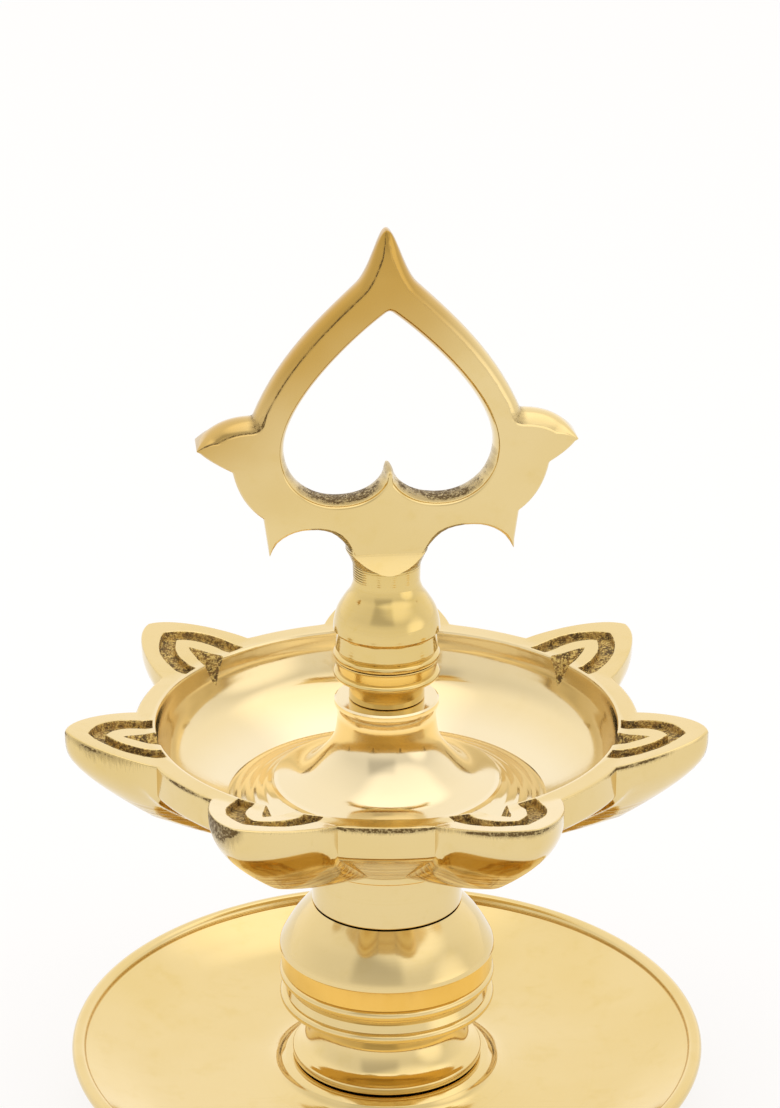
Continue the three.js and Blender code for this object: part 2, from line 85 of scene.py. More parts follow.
# Sections of the plate's edge, from its middle to its face: share of the bevel's reach, and share of half the
# plate's thickness
OUTER_EDGE = (
    (0, 0), (0.06, 0.3), (0.2, 0.54), (0.48, 0.74), (0.8, 0.87), (0.95, 0.91), (1.0, 0.95), (1.1, 1),
)
OPENING_EDGE = ((0, 0), (0.08, 0.3), (0.24, 0.55), (0.5, 0.78), (0.8, 0.92), (1.0, 0.975), (1.3, 1))

# Casting skin on the plate's bevel, by the row of its section
BEVEL_SKIN = {4: 0.3, 5: 0.68, 6: 0.55}

# Casting skin on the bowl's side: degrees from the back towards the left, half-width in degrees, how much is
# left, and the share of the way up the side at which it starts
ROUGH_EDGES = (
    (149, 8, 1.3, 0.5), (141, 7, 1.0, 0.8), (180, 17, 1.0, 0.79), (110, 9, 0.66, 0.6), (102, 5, 0.6, 0.6),
    (130, 9, 0.95, 0.84), (79, 8, 0.95, 0.84), (96, 6, 0.7, 0.8), (-158, 12, 0.9, 0.82), (-117, 9, 0.8, 0.84),
    (-76, 10, 0.8, 0.8), (45, 9, 0.8, 0.75), (-20, 12, 0.85, 0.8),
)


# Sizes and colours

def length(name, description, millimetres):
    """A length that the user may change."""
    default = millimetres * MM
    return FloatProperty(name=name, description=description, default=default, unit="LENGTH", precision=4)


def plain(name, description, number):
    """A bare number that the user may change."""
    return FloatProperty(name=name, description=description, default=number)


def tint(name, description, colour):
    """A linear colour that the user may change."""
    return FloatVectorProperty(
        name=name, description=description, default=colour, subtype="COLOR", size=3, min=0, max=1
    )


class LampBowlSizes(bpy.types.PropertyGroup):
    """Sizes of the bowl, with its heights measured from the plane of the rim."""

    depth: length("Depth", "From the plane of the rim down to the foot", 33.4)
    foot_radius: length("Foot radius", "Radius of the flat foot that stands on the ring", 20)
    foot_band: length("Foot band", "Height of the plain band round the foot", 2.2)
    rim_inner: length("Inner rim radius", "Radius of the rim's inner edge", 53)
    rim_outer: length("Outer rim radius", "Radius of the rim between two spouts", 58)
    rim_edge: length("Rim edge", "Rounding of the rim's edges", 0.6)
    rim_wall: length("Rim wall", "Height of the upright wall between two spouts", 7.8)
    oil_depth: length("Oil depth", "Depth of the bowl's floor", 19.4)
    floor_step: length("Floor step", "Height of the boss's foot above the floor round it", 1.6)
    boss_radius: length("Boss radius", "Radius of the boss's foot", 26.4)
    boss_foot: length("Boss foot depth", "Depth of the boss's foot", 14.9)
    boss_neck: length("Boss neck", "Radius of the boss where it is narrowest", 11.4)
    boss_top: length("Boss top", "Radius of the boss's flat top", 12)
    boss_rise: length("Boss rise", "Height of the boss's top above the rim", 5.4)
    steps: IntProperty(name="Steps", description="Steps round each spout", default=48, min=12, max=64)


class LampSpoutSizes(bpy.types.PropertyGroup):
    """Sizes of the spouts and of what is cast into their tops."""

    count: IntProperty(name="Spouts", description="Spouts round the rim", default=7, min=3, max=9)
    tip: length("Tip", "Distance of a spout's tip from the axis", 74.2)
    half_width: length("Half-width", "Half of a spout's width where it leaves the rim", 15.4)
    rise: length("Rise", "Height of a spout's tip above the rim", 4.2)
    rise_start: length("Rise start", "Distance from the axis at which the top starts to rise", 55.2)
    wall: length("Tip wall", "Depth of the side wall at the tip", 11.5)
    keel_belly: plain("Keel belly", "How far the keel hangs below a straight line", 0.16)
    keel_sharpness: plain("Keel sharpness", "How squarely a spout's side turns under", 3.4)
    rim_sharpness: plain("Rim sharpness", "How squarely the rim's wall turns under", 28)
    groove_depth: length("Groove depth", "Depth of the arched groove", 1.6)
    groove_tip: length("Groove tip", "Distance of the groove's tip from the axis", 69)
    groove_half: length("Groove half-width", "Half of the groove's width at the rim", 10.4)
    band_tip: length("Band tip", "Distance of the raised band's tip from the axis", 65)
    band_half: length("Band half-width", "Half of the raised band's width at the rim", 6)
    channel_tip: length("Channel tip", "Distance of the wick channel's tip from the axis", 61)
    channel_half: length("Channel half-width", "Half of the wick channel's width at the rim", 3.4)
    channel_depth: length("Channel depth", "Depth of the wick channel at its inner end", 6)


class LampLoopSizes(bpy.types.PropertyGroup):
    """Sizes of the heart-shaped loop, with the plate's heights measured from the top of the neck."""

    thickness: length("Thickness", "Thickness of the plate", 9)
    turn: FloatProperty(name="Turn", description="Turn of the plate about the axis",
                        default=math.radians(6), subtype="ANGLE")
    bevel: length("Bevel", "Reach of the worn bevel along the plate's upper edges", 2.2)
    lip: length("Lip", "Reach of the worn edge along the plate's lower edges", 0.5)
    arch_lip: length("Arch lip", "Reach of the rough edge along the arches", 0.9)
    height: length("Heart height", "Height of the heart's tip", 78.2)
    tip_reach: length("Tip reach", "Half-width of the tip at its foot", 6.8)
    tip_length: length("Tip length", "Length of the drawn-out tip", 12.2)
    upper_notch_reach: length("Upper notch reach", "Reach of the notch above the leaf", 29.9)
    upper_notch_height: length("Upper notch height", "Height of the notch above the leaf", 36.2)
    leaf_reach: length("Leaf reach", "Reach of the leaf's tip", 42.5)
    leaf_height: length("Leaf height", "Height of the leaf's tip", 29.9)
    lower_notch_reach: length("Lower notch reach", "Reach of the notch below the leaf", 35.4)
    lower_notch_height: length("Lower notch height", "Height of the notch below the leaf", 24.4)
    spike_notch_reach: length("Spike notch reach", "Reach of the notch above the spike", 28.7)
    spike_notch_height: length("Spike notch height", "Height of the notch above the spike", 13.2)
    spike_reach: length("Spike reach", "Reach of the spike's point", 27.5)
    spike_height: length("Spike height", "Height of the spike's point", 4.4)
    arch_reach: length("Arch reach", "Reach of the arch between neck and spike", 18)
    arch_height: length("Arch height", "Height of that arch", 9.6)
    arch_foot: length("Arch foot", "Height at which the arch meets the neck", 4)
    corner_shift: length("Corner shift", "Sideways shift of the lower corners", 0.8)
    opening_draft: length("Opening draft", "Widening of the opening towards the faces", 1.3)
    opening_shift: length("Opening shift", "Sideways shift of the opening", 0.4)
    opening_top: length("Opening top", "Height of the opening's apex", 60.1)
    opening_reach: length("Opening reach", "Half-width of the opening", 23.4)
    opening_widest: length("Widest height", "Height at which the opening is widest", 28.7)
    lobe_reach: length("Lobe reach", "Reach of the lowest point of a lobe", 11.4)
    lobe_height: length("Lobe height", "Height of the lowest point of a lobe", 16.6)
    cusp_height: length("Cusp height", "Height of the cusp between the lobes", 23.7)
    bell_radius: length("Bell radius", "Radius of the turned bell", 12.2)
    bell_foot: length("Bell foot", "Height of the plain band under the bell", 7.1)
    bell_height: length("Bell height", "Height at which the bell has drawn in to the neck", 19.4)
    neck_radius: length("Neck radius", "Radius of the neck", 7.6)
    neck_height: length("Neck height", "Height of the neck's top", 22.2)


class LampTurnedSizes(bpy.types.PropertyGroup):
    """Sizes of the stem, the collar, the dish and the studs."""

    stem_neck: length("Stem neck", "Radius of the stem's top and of the ring", 17.6)
    stem_bell: length("Stem bell", "Radius of the stem's beads", 25.4)
    stem_waist: length("Stem waist", "Radius of the stem's waist", 16.5)
    stem_foot: length("Stem foot", "Radius of the stem's foot", 22.5)
    stem_bead: length("Stem bead", "Height of a bead on the stem", 2.6)
    collar_bead: length("Collar bead", "Radius of the collar's bead", 12.2)
    collar_neck: length("Collar neck", "Radius of the collar's neck", 8.7)
    collar_bead_height: length("Collar bead height", "Height of the collar's bead", 1.6)
    collar_neck_height: length("Collar neck height", "Height of the collar's neck", 4.7)
    dish_lip: length("Dish lip", "Thickness of the dish's rounded lip", 3.4)
    dish_floor: length("Dish floor", "Height of the dish's floor", 10.8)
    dish_wall: length("Dish wall", "Thickness of the dish's floor", 3.6)
    dish_seat: length("Dish seat", "Radius of the raised seat for the stem", 24)
    dish_seat_height: length("Dish seat height", "Height of the raised seat", 15)
    foot_radius: length("Foot ring radius", "Radius of the dish's foot ring", 46.5)
    foot_width: length("Foot ring width", "Width of the foot ring's standing face", 5.5)
    underside: length("Underside", "Height of the face that the washer bears on", 11)
    loop_stud: length("Loop stud", "Radius of the stud in the loop", 4)
    loop_pitch: length("Loop stud pitch", "Pitch of that stud's thread", 1.8)
    bowl_stud: length("Bowl stud", "Radius of the stud under the bowl", 6)
    bowl_pitch: length("Bowl stud pitch", "Pitch of that stud's thread", 2.2)
    base_stud: length("Base stud", "Radius of the stud in the dish", 4)
    base_pitch: length("Base stud pitch", "Pitch of that stud's thread", 1.5)
    thread_depth: length("Thread depth", "Depth of the threads", 0.65)
    clearance: length("Clearance", "Gap between a stud and its socket", 0.3)
    loop_socket: length("Loop socket", "Depth of the socket in the loop", 15.4)
    boss_socket: length("Boss socket", "Depth of the socket in the bowl's boss", 12.6)
    bowl_socket: length("Bowl socket", "Depth of the socket under the bowl", 15)
    stem_socket: length("Stem socket", "Depth of the socket in the stem's top", 15.6)
    base_socket: length("Base socket", "Depth of the socket in the stem's foot", 14)
    washer: length("Washer", "Radius of the washer", 9)
    nut_flats: length("Nut", "Width of the nut across its flats", 13)


class LampFinishColours(bpy.types.PropertyGroup):
    """Colours of the metal and of the stage."""

    brass: tint("Brass", "Polished brass", (0.78, 0.61, 0.29))
    warm: tint("Warm brass", "Brass with a trace of tarnish", (0.72, 0.53, 0.18))
    # Deep brass colours the tarnish in the reeds, and also the painted shade towards the upper left of the
    # loop.
    deep: tint("Deep brass", "Brass where the tarnish has gone deepest", (0.52, 0.30, 0.045))
    # The pale brass colour below is a painted highlight: the bowl's floor and boss are painted paler to stand
    # in for their bright, whitish reflection.
    painted_highlight: tint("Pale brass", "Brass buffed the palest, on the bowl's floor", (0.87, 0.755, 0.52))
    # Tarnish also colours the painted shade in the troughs of the neck's coarse ridges.
    tarnish: tint("Tarnish", "Brown skin in hollows and pits", (0.11, 0.062, 0.015))
    zinc: tint("Zinc", "Zinc plating of the fastening", (0.62, 0.63, 0.62))
    floor: tint("Floor", "Floor under the lamp", (0.86, 0.86, 0.86))


class LampStageSizes(bpy.types.PropertyGroup):
    """Place of the camera and strength of the lights."""

    elevation: FloatProperty(name="Elevation", description="Angle at which the camera looks down",
                             default=math.radians(21.34), subtype="ANGLE")
    distance: length("Distance", "From the camera to the point it looks at", 730.1)
    aside: length("Aside", "Sideways place of the point the camera looks at", 0.76)
    above: length("Above", "Height above the rim of the point the camera looks at", 40.23)
    focal: plain("Focal length", "Lens for a sensor 36 mm high", 105.235)
    room: plain("Room", "Strength of the even light all round", 0.89)
    sky: plain("Sky", "How much brighter the room is above and behind", 0.24)
    ceiling_window: plain("Ceiling window", "How much brighter the soft patch overhead is", 0.35)
    side_window: plain("Side window", "How much brighter the soft patch on the right is", 0.4)
    camera_side: plain("Camera side", "How much darker the room is behind the camera", 0.27)
    haze: plain("Haze", "How much brighter the room is near the floor", 0.1)
    left: FloatProperty(name="Left lamp", description="Power of the soft lamp on the left",
                        default=7.0, unit="POWER")
    right: FloatProperty(name="Right lamp", description="Power of the soft lamp on the right",
                         default=4.0, unit="POWER")


# Shader maths

class Value:
    """A number that varies over a surface; arithmetic on it adds Math nodes."""

    def __init__(self, finish, socket):
        self.finish = finish
        self.socket = socket

    def math(self, operation, first, second=0.0):
        node = self.finish.node("ShaderNodeMath", {"operation": operation}, {0: first, 1: second})
        return Value(self.finish, node.outputs[0])

    def __add__(self, other):
        return self.math("ADD", self, other)

    __radd__ = __add__

    def __sub__(self, other):
        return self.math("SUBTRACT", self, other)

    def __rsub__(self, other):
        return self.math("SUBTRACT", other, self)

    def __mul__(self, other):
        return self.math("MULTIPLY", self, other)

    __rmul__ = __mul__

    def __truediv__(self, other):
        return self.math("DIVIDE", self, other)

    def __rtruediv__(self, other):
        return self.math("DIVIDE", other, self)

    def __pow__(self, other):
        return self.math("POWER", self, other)

    def sine(self):
        return self.math("SINE", self)

    def most(self, other):
        return self.math("MAXIMUM", self, other)


class Nodes:
    """Nodes of a material or of the room."""

    def __init__(self, tree):
        self.tree = tree
        self.tree.nodes.clear()

    def node(self, kind, settings, inputs):
        """Adds a node, sets it up, then fills its sockets with values or links."""
        node = self.tree.nodes.new(kind)
        node.location = (220 * (len(self.tree.nodes) % 9), -260 * (len(self.tree.nodes) // 9))
        for name, setting in settings.items():
            setattr(node, name, setting)
        for key, value in inputs.items():
            value = value.socket if isinstance(value, Value) else value
            if isinstance(value, bpy.types.NodeSocket):
                self.tree.links.new(value, node.inputs[key])
            else:
                node.inputs[key].default_value = value
        return node

    def step(self, value, low, high):
        """A soft step from 0 to 1 as a value climbs from low to high."""
        node = self.node("ShaderNodeMapRange", {"interpolation_type": "SMOOTHSTEP", "clamp": True}, {
            "Value": value, "From Min": low, "From Max": high, "To Min": 0.0, "To Max": 1.0,
        })
        return Value(self, node.outputs[0])


class Finish(Nodes):
    """A material and its nodes."""

    def __init__(self, name):
        self.material = bpy.data.materials.new(name)
        self.material.use_nodes = True
        super().__init__(self.material.node_tree)
        self.place = self.node("ShaderNodeTexCoord", {}, {}).outputs["Object"]

    def noise(self, scale, detail=2.0, roughness=0.5, vector=None):
        """Noise over the piece, with its scale in features to a metre."""
        node = self.node("ShaderNodeTexNoise", {}, {
            "Vector": vector or self.place, "Scale": scale, "Detail": detail, "Roughness": roughness,
        })
        return Value(self, node.outputs["Fac"])

    def lines(self, distance, spacing, detail=3.0):
        """Irregular lines square to a distance along the surface, both in millimetres."""
        node = self.node("ShaderNodeTexNoise", {"noise_dimensions": "1D"}, {
            "W": distance / spacing, "Scale": 1.0, "Detail": detail, "Roughness": 0.6,
        })
        return Value(self, node.outputs["Fac"])

    def attribute(self, name):
        """A number that the mesh carries."""
        return Value(self, self.node("ShaderNodeAttribute", {"attribute_name": name}, {}).outputs["Fac"])

    def millimetres(self):
        """The piece's own coordinates in millimetres."""
        parts = self.node("ShaderNodeSeparateXYZ", {}, {0: self.place}).outputs
        return [Value(self, part) / MM for part in parts]

    def stretched(self, scale):
        """The piece's own coordinates, stretched along each axis."""
        return self.node("ShaderNodeMapping", {}, {"Vector": self.place, "Scale": scale}).outputs[0]

    def joined(self, first, second):
        """A place on the surface from two numbers."""
        return self.node("ShaderNodeCombineXYZ", {}, {0: first, 1: second}).outputs[0]

    def blend(self, share, first, second):
        """A colour part of the way from the first to the second."""
        settings = {"data_type": "RGBA", "blend_type": "MIX", "clamp_factor": True}
        return self.node("ShaderNodeMix", settings, {0: share, 6: first, 7: second}).outputs[2]

    def bump(self, height):
        """Surface relief from a height in millimetres."""
        inputs = {"Strength": 1.0, "Distance": MM, "Height": height}
        return self.node("ShaderNodeBump", {}, inputs).outputs["Normal"]

    def close(self, inputs):
        """Joins the metal shader to the material's output."""
        shader = self.node("ShaderNodeBsdfPrincipled", {}, inputs)
        self.node("ShaderNodeOutputMaterial", {}, {"Surface": shader.outputs[0]})
        return self.material


def opaque(colour, factor=1.0):
    """A colour setting as the four numbers of a socket."""
    return (*(channel * factor for channel in colour), 1.0)


def coarse_marks(finish, level):
    """Wave of the coarse turning marks, and where they show: above a level, and below it on the left."""
    aside, ahead, upright = finish.millimetres()
    reach = (aside * aside + ahead * ahead) ** 0.5
    wave = ((upright + reach) * (2 * math.pi / RIDGE_SPACING)).sine()
    left = finish.step(aside * -1.0, 4.5, 6.0) * finish.step(upright, level - 3.5, level - 2.0)
    return wave, finish.step(upright, level - 0.5, level + 1.5).most(left)


def casting_skin(finish, grain, along):
    """What is left of the brown casting skin: crumbs of crust, and smears with hairs square to the edge."""
    skin = finish.attribute("skin")
    patch = finish.noise(170, 2.0, 0.6)
    crust = finish.step(skin + patch * 0.55 + grain * 0.45 - 0.5, 0.54, 0.64) * finish.step(grain, 0.41, 0.5)
    hairs = finish.noise(1.0, 3.0, 0.6, finish.joined(finish.attribute("around") * 2.4, along * 0.4))
    smear = finish.step(skin * 0.9 + hairs * 0.6, 0.5, 0.85) * finish.step(skin, 0.02, 0.2)
    return crust, smear


def brass_tone(finish, warm_share, mottle, reeds, shade_drift):
    """Colour of clean brass: warm where it has tarnished a little, with a painted highlight on the bowl's
    inside and painted shade deepening the tone towards the upper left.
    """
    colours = bpy.context.scene.lamp_colours
    tone = finish.blend(warm_share, opaque(colours.brass), opaque(colours.warm))
    # Painted highlight: a paler colour on the bowl's inside stands in for its bright reflection.
    tone = finish.blend(finish.attribute("painted_highlight"), tone, opaque(colours.painted_highlight))
    tone = finish.blend(reeds * 0.75, tone, opaque(colours.deep))
    if shade_drift:
        aside, _, upright = finish.millimetres()
        # Painted shade: the tone is painted deeper towards the upper left, in place of the darker reflection
        # there.
        painted_shade = finish.step(upright * 0.6 - aside * 0.35 + mottle * 8.0, 100, 136) * shade_drift
        tone = finish.blend(painted_shade, tone, opaque(colours.deep))
    return tone


def polished_brass(name, gloss, feed, waviness, pitting, ridged=None, shade_drift=0.0, warmth=0.0):
    """Brass buffed by hand: soft waves, turning marks, scratches, reeds, and brown skin where it was left.

    Feed is how deep the turning marks are. A piece that is turned all over may keep coarse marks about the
    level given as ridged, with painted shade in their troughs. Shade drift is how far painted shade deepens
    the tone towards the upper left of the lamp, and warmth how warm it is all over.
    """
    finish = Finish(name)
    if ridged is None:
        along = finish.attribute("along")
        lathe = finish.attribute("lathe")
        ridges = painted_ridge_shade = 0.0
    else:
        along = finish.millimetres()[2]
        lathe = 1.0
        wave, coarse = coarse_marks(finish, ridged)
        ridges = wave * (coarse * 0.013 + 0.0015)
        # Painted shade: dark dashes in the tarnish colour along the troughs of the coarse ridges, standing in
        # for their shade and dark reflection.
        painted_ridge_shade = (1.0 - finish.step(wave, -0.5, 0.1)) * coarse * 0.85
    fade = finish.step(finish.noise(60, 2.0), 0.35, 0.7)
    marks = finish.lines(along, 0.5, 4.0)
    scratch = finish.step(finish.noise(900, 2.0, 0.6, finish.stretched((0.05, 1.0, 0.3))), 0.66, 0.75)
    pit_field = finish.step(finish.noise(48, 2.0), 0.55, 0.75)
    pits = finish.step(finish.noise(650, 3.0, 0.65), 0.74, 0.8) * pit_field * pitting
    grain = finish.noise(1400, 4.0, 0.75)
    crust, smear = casting_skin(finish, grain, along)
    # Dark marks: real crust, pits and smears of casting skin, with the painted ridge shade.
    dark = crust.most(pits).most(smear * 0.45).most(painted_ridge_shade)
    reeds = finish.step(finish.lines(along, 4.0, 2.0), 0.45, 0.6) * finish.attribute("reeded")

    mottle = finish.step(finish.noise(24, 3.0), 0.35, 0.7)
    stain = finish.step(finish.noise(130, 4.0, 0.65), 0.5, 0.75)
    line = finish.step(marks, 0.58, 0.8) * lathe * (fade * 0.2 + 0.08)
    warm_share = mottle * 0.45 + stain * 0.3 + scratch * 0.15 + line + warmth
    tone = brass_tone(finish, warm_share, mottle, reeds, shade_drift)
    tarnish = opaque(bpy.context.scene.lamp_colours.tarnish)

    waves = finish.noise(55, 1.5) * waviness + finish.noise(210, 2.0) * (waviness * 0.16)
    turning = marks * lathe * (fade * (feed * 0.8) + feed * 0.25)
    height = waves + turning + ridges - dark * 0.1 + grain * crust * 0.3 - reeds * 0.1
    return finish.close({
        "Base Color": finish.blend(dark * 0.97, tone, tarnish), "Metallic": 1.0 - dark * 0.8,
        "Roughness": gloss + fade * 0.03 + scratch * 0.05 + dark * 0.4, "Specular IOR Level": 0.15,
        "Normal": finish.bump(height), "Coat Weight": 0.35 - dark * 0.35, "Coat Roughness": 0.05,
    })


def cast_recess(name):
    """As-cast floor of the grooves: coarse brown grain with specks that the buff has caught."""
    colours = bpy.context.scene.lamp_colours
    finish = Finish(name)
    grain = finish.noise(1700, 3.0, 0.7)
    lumps = finish.noise(420, 3.0, 0.6)
    fleck = finish.step(grain * 0.75 + lumps * 0.25, 0.475, 0.555)
    bottom = opaque(colours.tarnish)
    shade = finish.blend(finish.step(lumps, 0.35, 0.65), bottom, opaque(colours.tarnish, 3.4))
    colour = finish.blend(fleck, shade, opaque(colours.warm))
    return finish.close({
        "Base Color": colour, "Metallic": fleck * 0.75 + 0.2, "Roughness": 0.68 - fleck * 0.3,
        "Normal": finish.bump(grain * 0.3 + lumps * 0.4),
    })


def threaded_metal(name, colour, gloss):
    """Cut or plated thread: dull, faintly mottled, with fine tool marks."""
    finish = Finish(name)
    mottle = finish.noise(260, 4.0, 0.6)
    marks = finish.noise(1500, 2.0, 0.5, finish.stretched((1.0, 1.0, 5.0)))
    tone = finish.blend(finish.step(mottle, 0.35, 0.75), opaque(colour), opaque(colour, 0.62))
    return finish.close({
        "Base Color": tone, "Metallic": 1.0, "Roughness": mottle * 0.25 + gloss,
        "Normal": finish.bump(marks * 0.012 + mottle * 0.01),
    })


# What several pieces are made with

def only(geometry, kind):
    """What is of one kind in a mixed list."""
    return [element for element in geometry if isinstance(element, kind)]


def lift(bm, height):
    """Moves everything up."""
    bmesh.ops.translate(bm, verts=bm.verts, vec=(0, 0, height))


def swing(bm, angle, verts=None):
    """Turns everything, or the given points, about the upright axis."""
    bmesh.ops.rotate(bm, verts=verts or bm.verts, cent=(0, 0, 0), matrix=Matrix.Rotation(angle, 3, "Z"))


def sweep(bm, steps):
    """Turns a wire all the way round the upright axis into a surface."""
    bmesh.ops.spin(bm, geom=[*bm.verts, *bm.edges], cent=(0, 0, 0), axis=(0, 0, 1), angle=2 * math.pi,
                   steps=steps, use_merge=True)


def band(bm, lower, upper):
    """Faces between two rings with as many points, each with the places of its two lower points."""
    following = [*range(1, len(lower)), 0]
    return [(i, j, bm.faces.new((lower[i], lower[j], upper[j], upper[i]))) for i, j in enumerate(following)]


def ring_edges(bm, ring):
    """The edges round a ring of points."""
    return [bm.edges.get(pair) for pair in zip(ring, ring[1:] + ring[:1])]


# Turned pieces

def flowing(points, steps):
    """Points of a smooth curve through the given (radius, height) points."""
    knots = [Vector((*point, 0.0)) for point in points]
    before = [knots[0], *knots[:-1]]
    after = [*knots[1:], knots[-1]]
    curve = []
    for i in range(len(knots) - 1):
        handle = knots[i] + (after[i] - before[i]) / 6
        arrival = knots[i + 1] - (after[i + 1] - before[i + 1]) / 6
        curve.extend(interpolate_bezier(knots[i], handle, arrival, knots[i + 1], steps + 1)[:-1])
    curve.append(knots[-1])
    return [(p.x, p.y) for p in curve]


def beside(radius, height, *steps):
    """Points by their steps out and up from a (radius, height), in millimetres."""
    return [(radius + out * MM, height + up * MM) for out, up in steps]


def bead(radius, bottom, height, steps=8):
    """Half-round bead, from its lower edge to its upper edge."""
    half = height / 2
    angles = [math.pi * (i / steps - 0.5) for i in range(steps + 1)]
    return [(radius - half * (1 - math.cos(turn)), bottom + half * (1 + math.sin(turn))) for turn in angles]


def profile(points, closed=False):
    """A wire profile of (radius, height) points; a third number rounds the corner there."""
    bm = bmesh.new()
    along = bm.verts.layers.float.new("along")
    lathe = bm.verts.layers.float.new("lathe")
    bm.verts.layers.float.new("skin")
    corners = [bm.verts.new((point[0], 0.0, point[1])) for point in points]
    for pair in zip(corners, corners[1:] + corners[:1] if closed else corners[1:]):
        bm.edges.new(pair)
    rounded = {}
    for corner, point in zip(corners, points):
        if len(point) > 2:
            rounded.setdefault(point[2], []).append(corner)
    for reach, chosen in rounded.items():
        bmesh.ops.bevel(bm, geom=chosen, offset=reach, segments=4, profile=0.5, affect="VERTICES",
                        material=-1)
    bm.verts.ensure_lookup_table()
    current = next((v for v in bm.verts if len(v.link_edges) == 1), bm.verts[0])
    distance = 0.0
    left = set(bm.edges)
    while current is not None:
        current[along] = distance / MM
        current[lathe] = 1.0
        edge = next((e for e in current.link_edges if e in left), None)
        current = edge.other_vert(current) if edge else None
        if edge:
            left.discard(edge)
            distance += edge.calc_length()
    return bm


def turned(points, steps=128, closed=False):
    """A profile turned all the way round the axis."""
    bm = profile(points, closed)
    sweep(bm, steps)
    tidy(bm)
    return bm


def tidy(bm):
    """Merges what lies together and turns the faces outwards."""
    bmesh.ops.remove_doubles(bm, verts=bm.verts, dist=MERGE)
    bmesh.ops.dissolve_degenerate(bm, edges=bm.edges, dist=MERGE)
    bmesh.ops.recalc_face_normals(bm, faces=bm.faces)


def finished(name, bm, body, finishes, nodes, crease=32):
    """Puts a built piece on its body, with its finish, in place of its plain nodes."""
    mesh = bpy.data.meshes.new(name)
    bm.to_mesh(mesh)
    bm.free()
    mesh.shade_smooth()
    mesh.set_sharp_from_angle(angle=math.radians(crease))
    piece = bpy.data.objects.new(name, mesh)
    bpy.context.scene.collection.objects.link(piece)
    for finish in finishes:
        mesh.materials.append(finish)
    normals = piece.modifiers.new("Even faces", "WEIGHTED_NORMAL")
    normals.keep_sharp = True
    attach(piece, body)
    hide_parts(*nodes)
    return piece


def threaded_rod(radius, pitch, depth, bottom, top):
    """A rod with a screw thread and a chamfer at each end."""
    bm = bmesh.new()
    around = 24
    turns = math.ceil((top - bottom) / pitch) + 2
    crest, root = radius, radius - depth
    section = [(crest, 0.0), (crest, 0.1), (root, 0.42), (root, 0.58), (crest, 0.9)]
    verts = []
    for turn in range(turns):
        for reach, share in section:
            verts.append(bm.verts.new((reach, 0.0, bottom + (turn - 1.5 + share) * pitch)))
    edges = [bm.edges.new(pair) for pair in zip(verts, verts[1:])]
    bmesh.ops.spin(bm, geom=[*verts, *edges], cent=(0, 0, 0), axis=(0, 0, 1), dvec=(0, 0, pitch / around),
                   angle=2 * math.pi, steps=around)
    bmesh.ops.remove_doubles(bm, verts=bm.verts, dist=MERGE * 10)
    narrow = (root - CORNER) / radius
    for level, up in ((top, 1), (bottom, -1)):
        geometry = [*bm.verts, *bm.edges, *bm.faces]
        cut = bmesh.ops.bisect_plane(bm, geom=geometry, dist=MERGE, plane_co=(0, 0, level),
                                     plane_no=(0, 0, up), clear_outer=True)
        ring = only(cut["geom_cut"], bmesh.types.BMEdge)
        made = bmesh.ops.extrude_edge_only(bm, edges=ring)["geom"]
        bmesh.ops.scale(bm, vec=(narrow, narrow, 1), verts=only(made, bmesh.types.BMVert))
        bmesh.ops.contextual_create(bm, geom=only(made, bmesh.types.BMEdge))
    tidy(bm)
    return bm


# The bowl

def spout_stations(bowl, spout):
    """Places round the outline: each has its angle from the front and its distance from the axis."""
    pitch = 2 * math.pi / spout.count
    notch = Vector((math.sqrt(bowl.rim_outer ** 2 - spout.half_width ** 2), spout.half_width, 0))
    run = spout.tip - notch.x
    shoulder = Vector((notch.x + run * 0.31, spout.half_width * 0.9, 0))
    nose = Vector((spout.tip - run * 0.08, spout.half_width * 0.48, 0))
    half = bowl.steps // 2
    valley = half // 4
    side = interpolate_bezier(notch, shoulder, nose, Vector((spout.tip, 0, 0)), half - valley + 1)
    notch_angle = pitch / 2 - math.atan2(notch.y, notch.x)
    stations = []
    for k in range(spout.count):
        start = k * pitch
        centre = start + pitch / 2
        for i in range(valley):
            stations.append((start + notch_angle * i / valley, bowl.rim_outer))
        for p in side:
            stations.append((centre - math.atan2(p.y, p.x), p.length))
        for p in reversed(side[:-1]):
            stations.append((centre + math.atan2(p.y, p.x), p.length))
        for i in range(valley - 1, 0, -1):
            stations.append((start + pitch - notch_angle * i / valley, bowl.rim_outer))
    return stations


def spout_top(spout, out):
    """Height of a spout's top face above the rim, at a distance out along the spout."""
    return max(0.0, spout.rise * (out - spout.rise_start) / (spout.tip - spout.rise_start))


def outside_point(bowl, spout, reach, share):
    """Point of the outside, a share of the way round from the foot to the rim."""
    fullness = max(0.0, (reach - bowl.rim_outer) / (spout.tip - bowl.rim_outer))
    squarer = (spout.rim_sharpness - spout.keel_sharpness) * (1 - fullness) ** 12
    power = spout.keel_sharpness + fullness + squarer
    direction = math.pi / 2 * (1 - share)
    stretch = (math.cos(direction) ** power + math.sin(direction) ** power) ** (-1 / power)
    reach_share = stretch * math.cos(direction)
    depth_share = stretch * math.sin(direction)
    wall = bowl.rim_wall + (spout.wall - bowl.rim_wall) * math.sqrt(fullness)
    foot = bowl.foot_radius + bowl.rim_edge
    radius = foot + (reach - foot) * reach_share
    drop = bowl.depth - bowl.foot_band
    climb = (drop - wall) * reach_share ** (1 + spout.keel_belly * math.sqrt(fullness))
    return radius, -(drop - climb) * depth_share


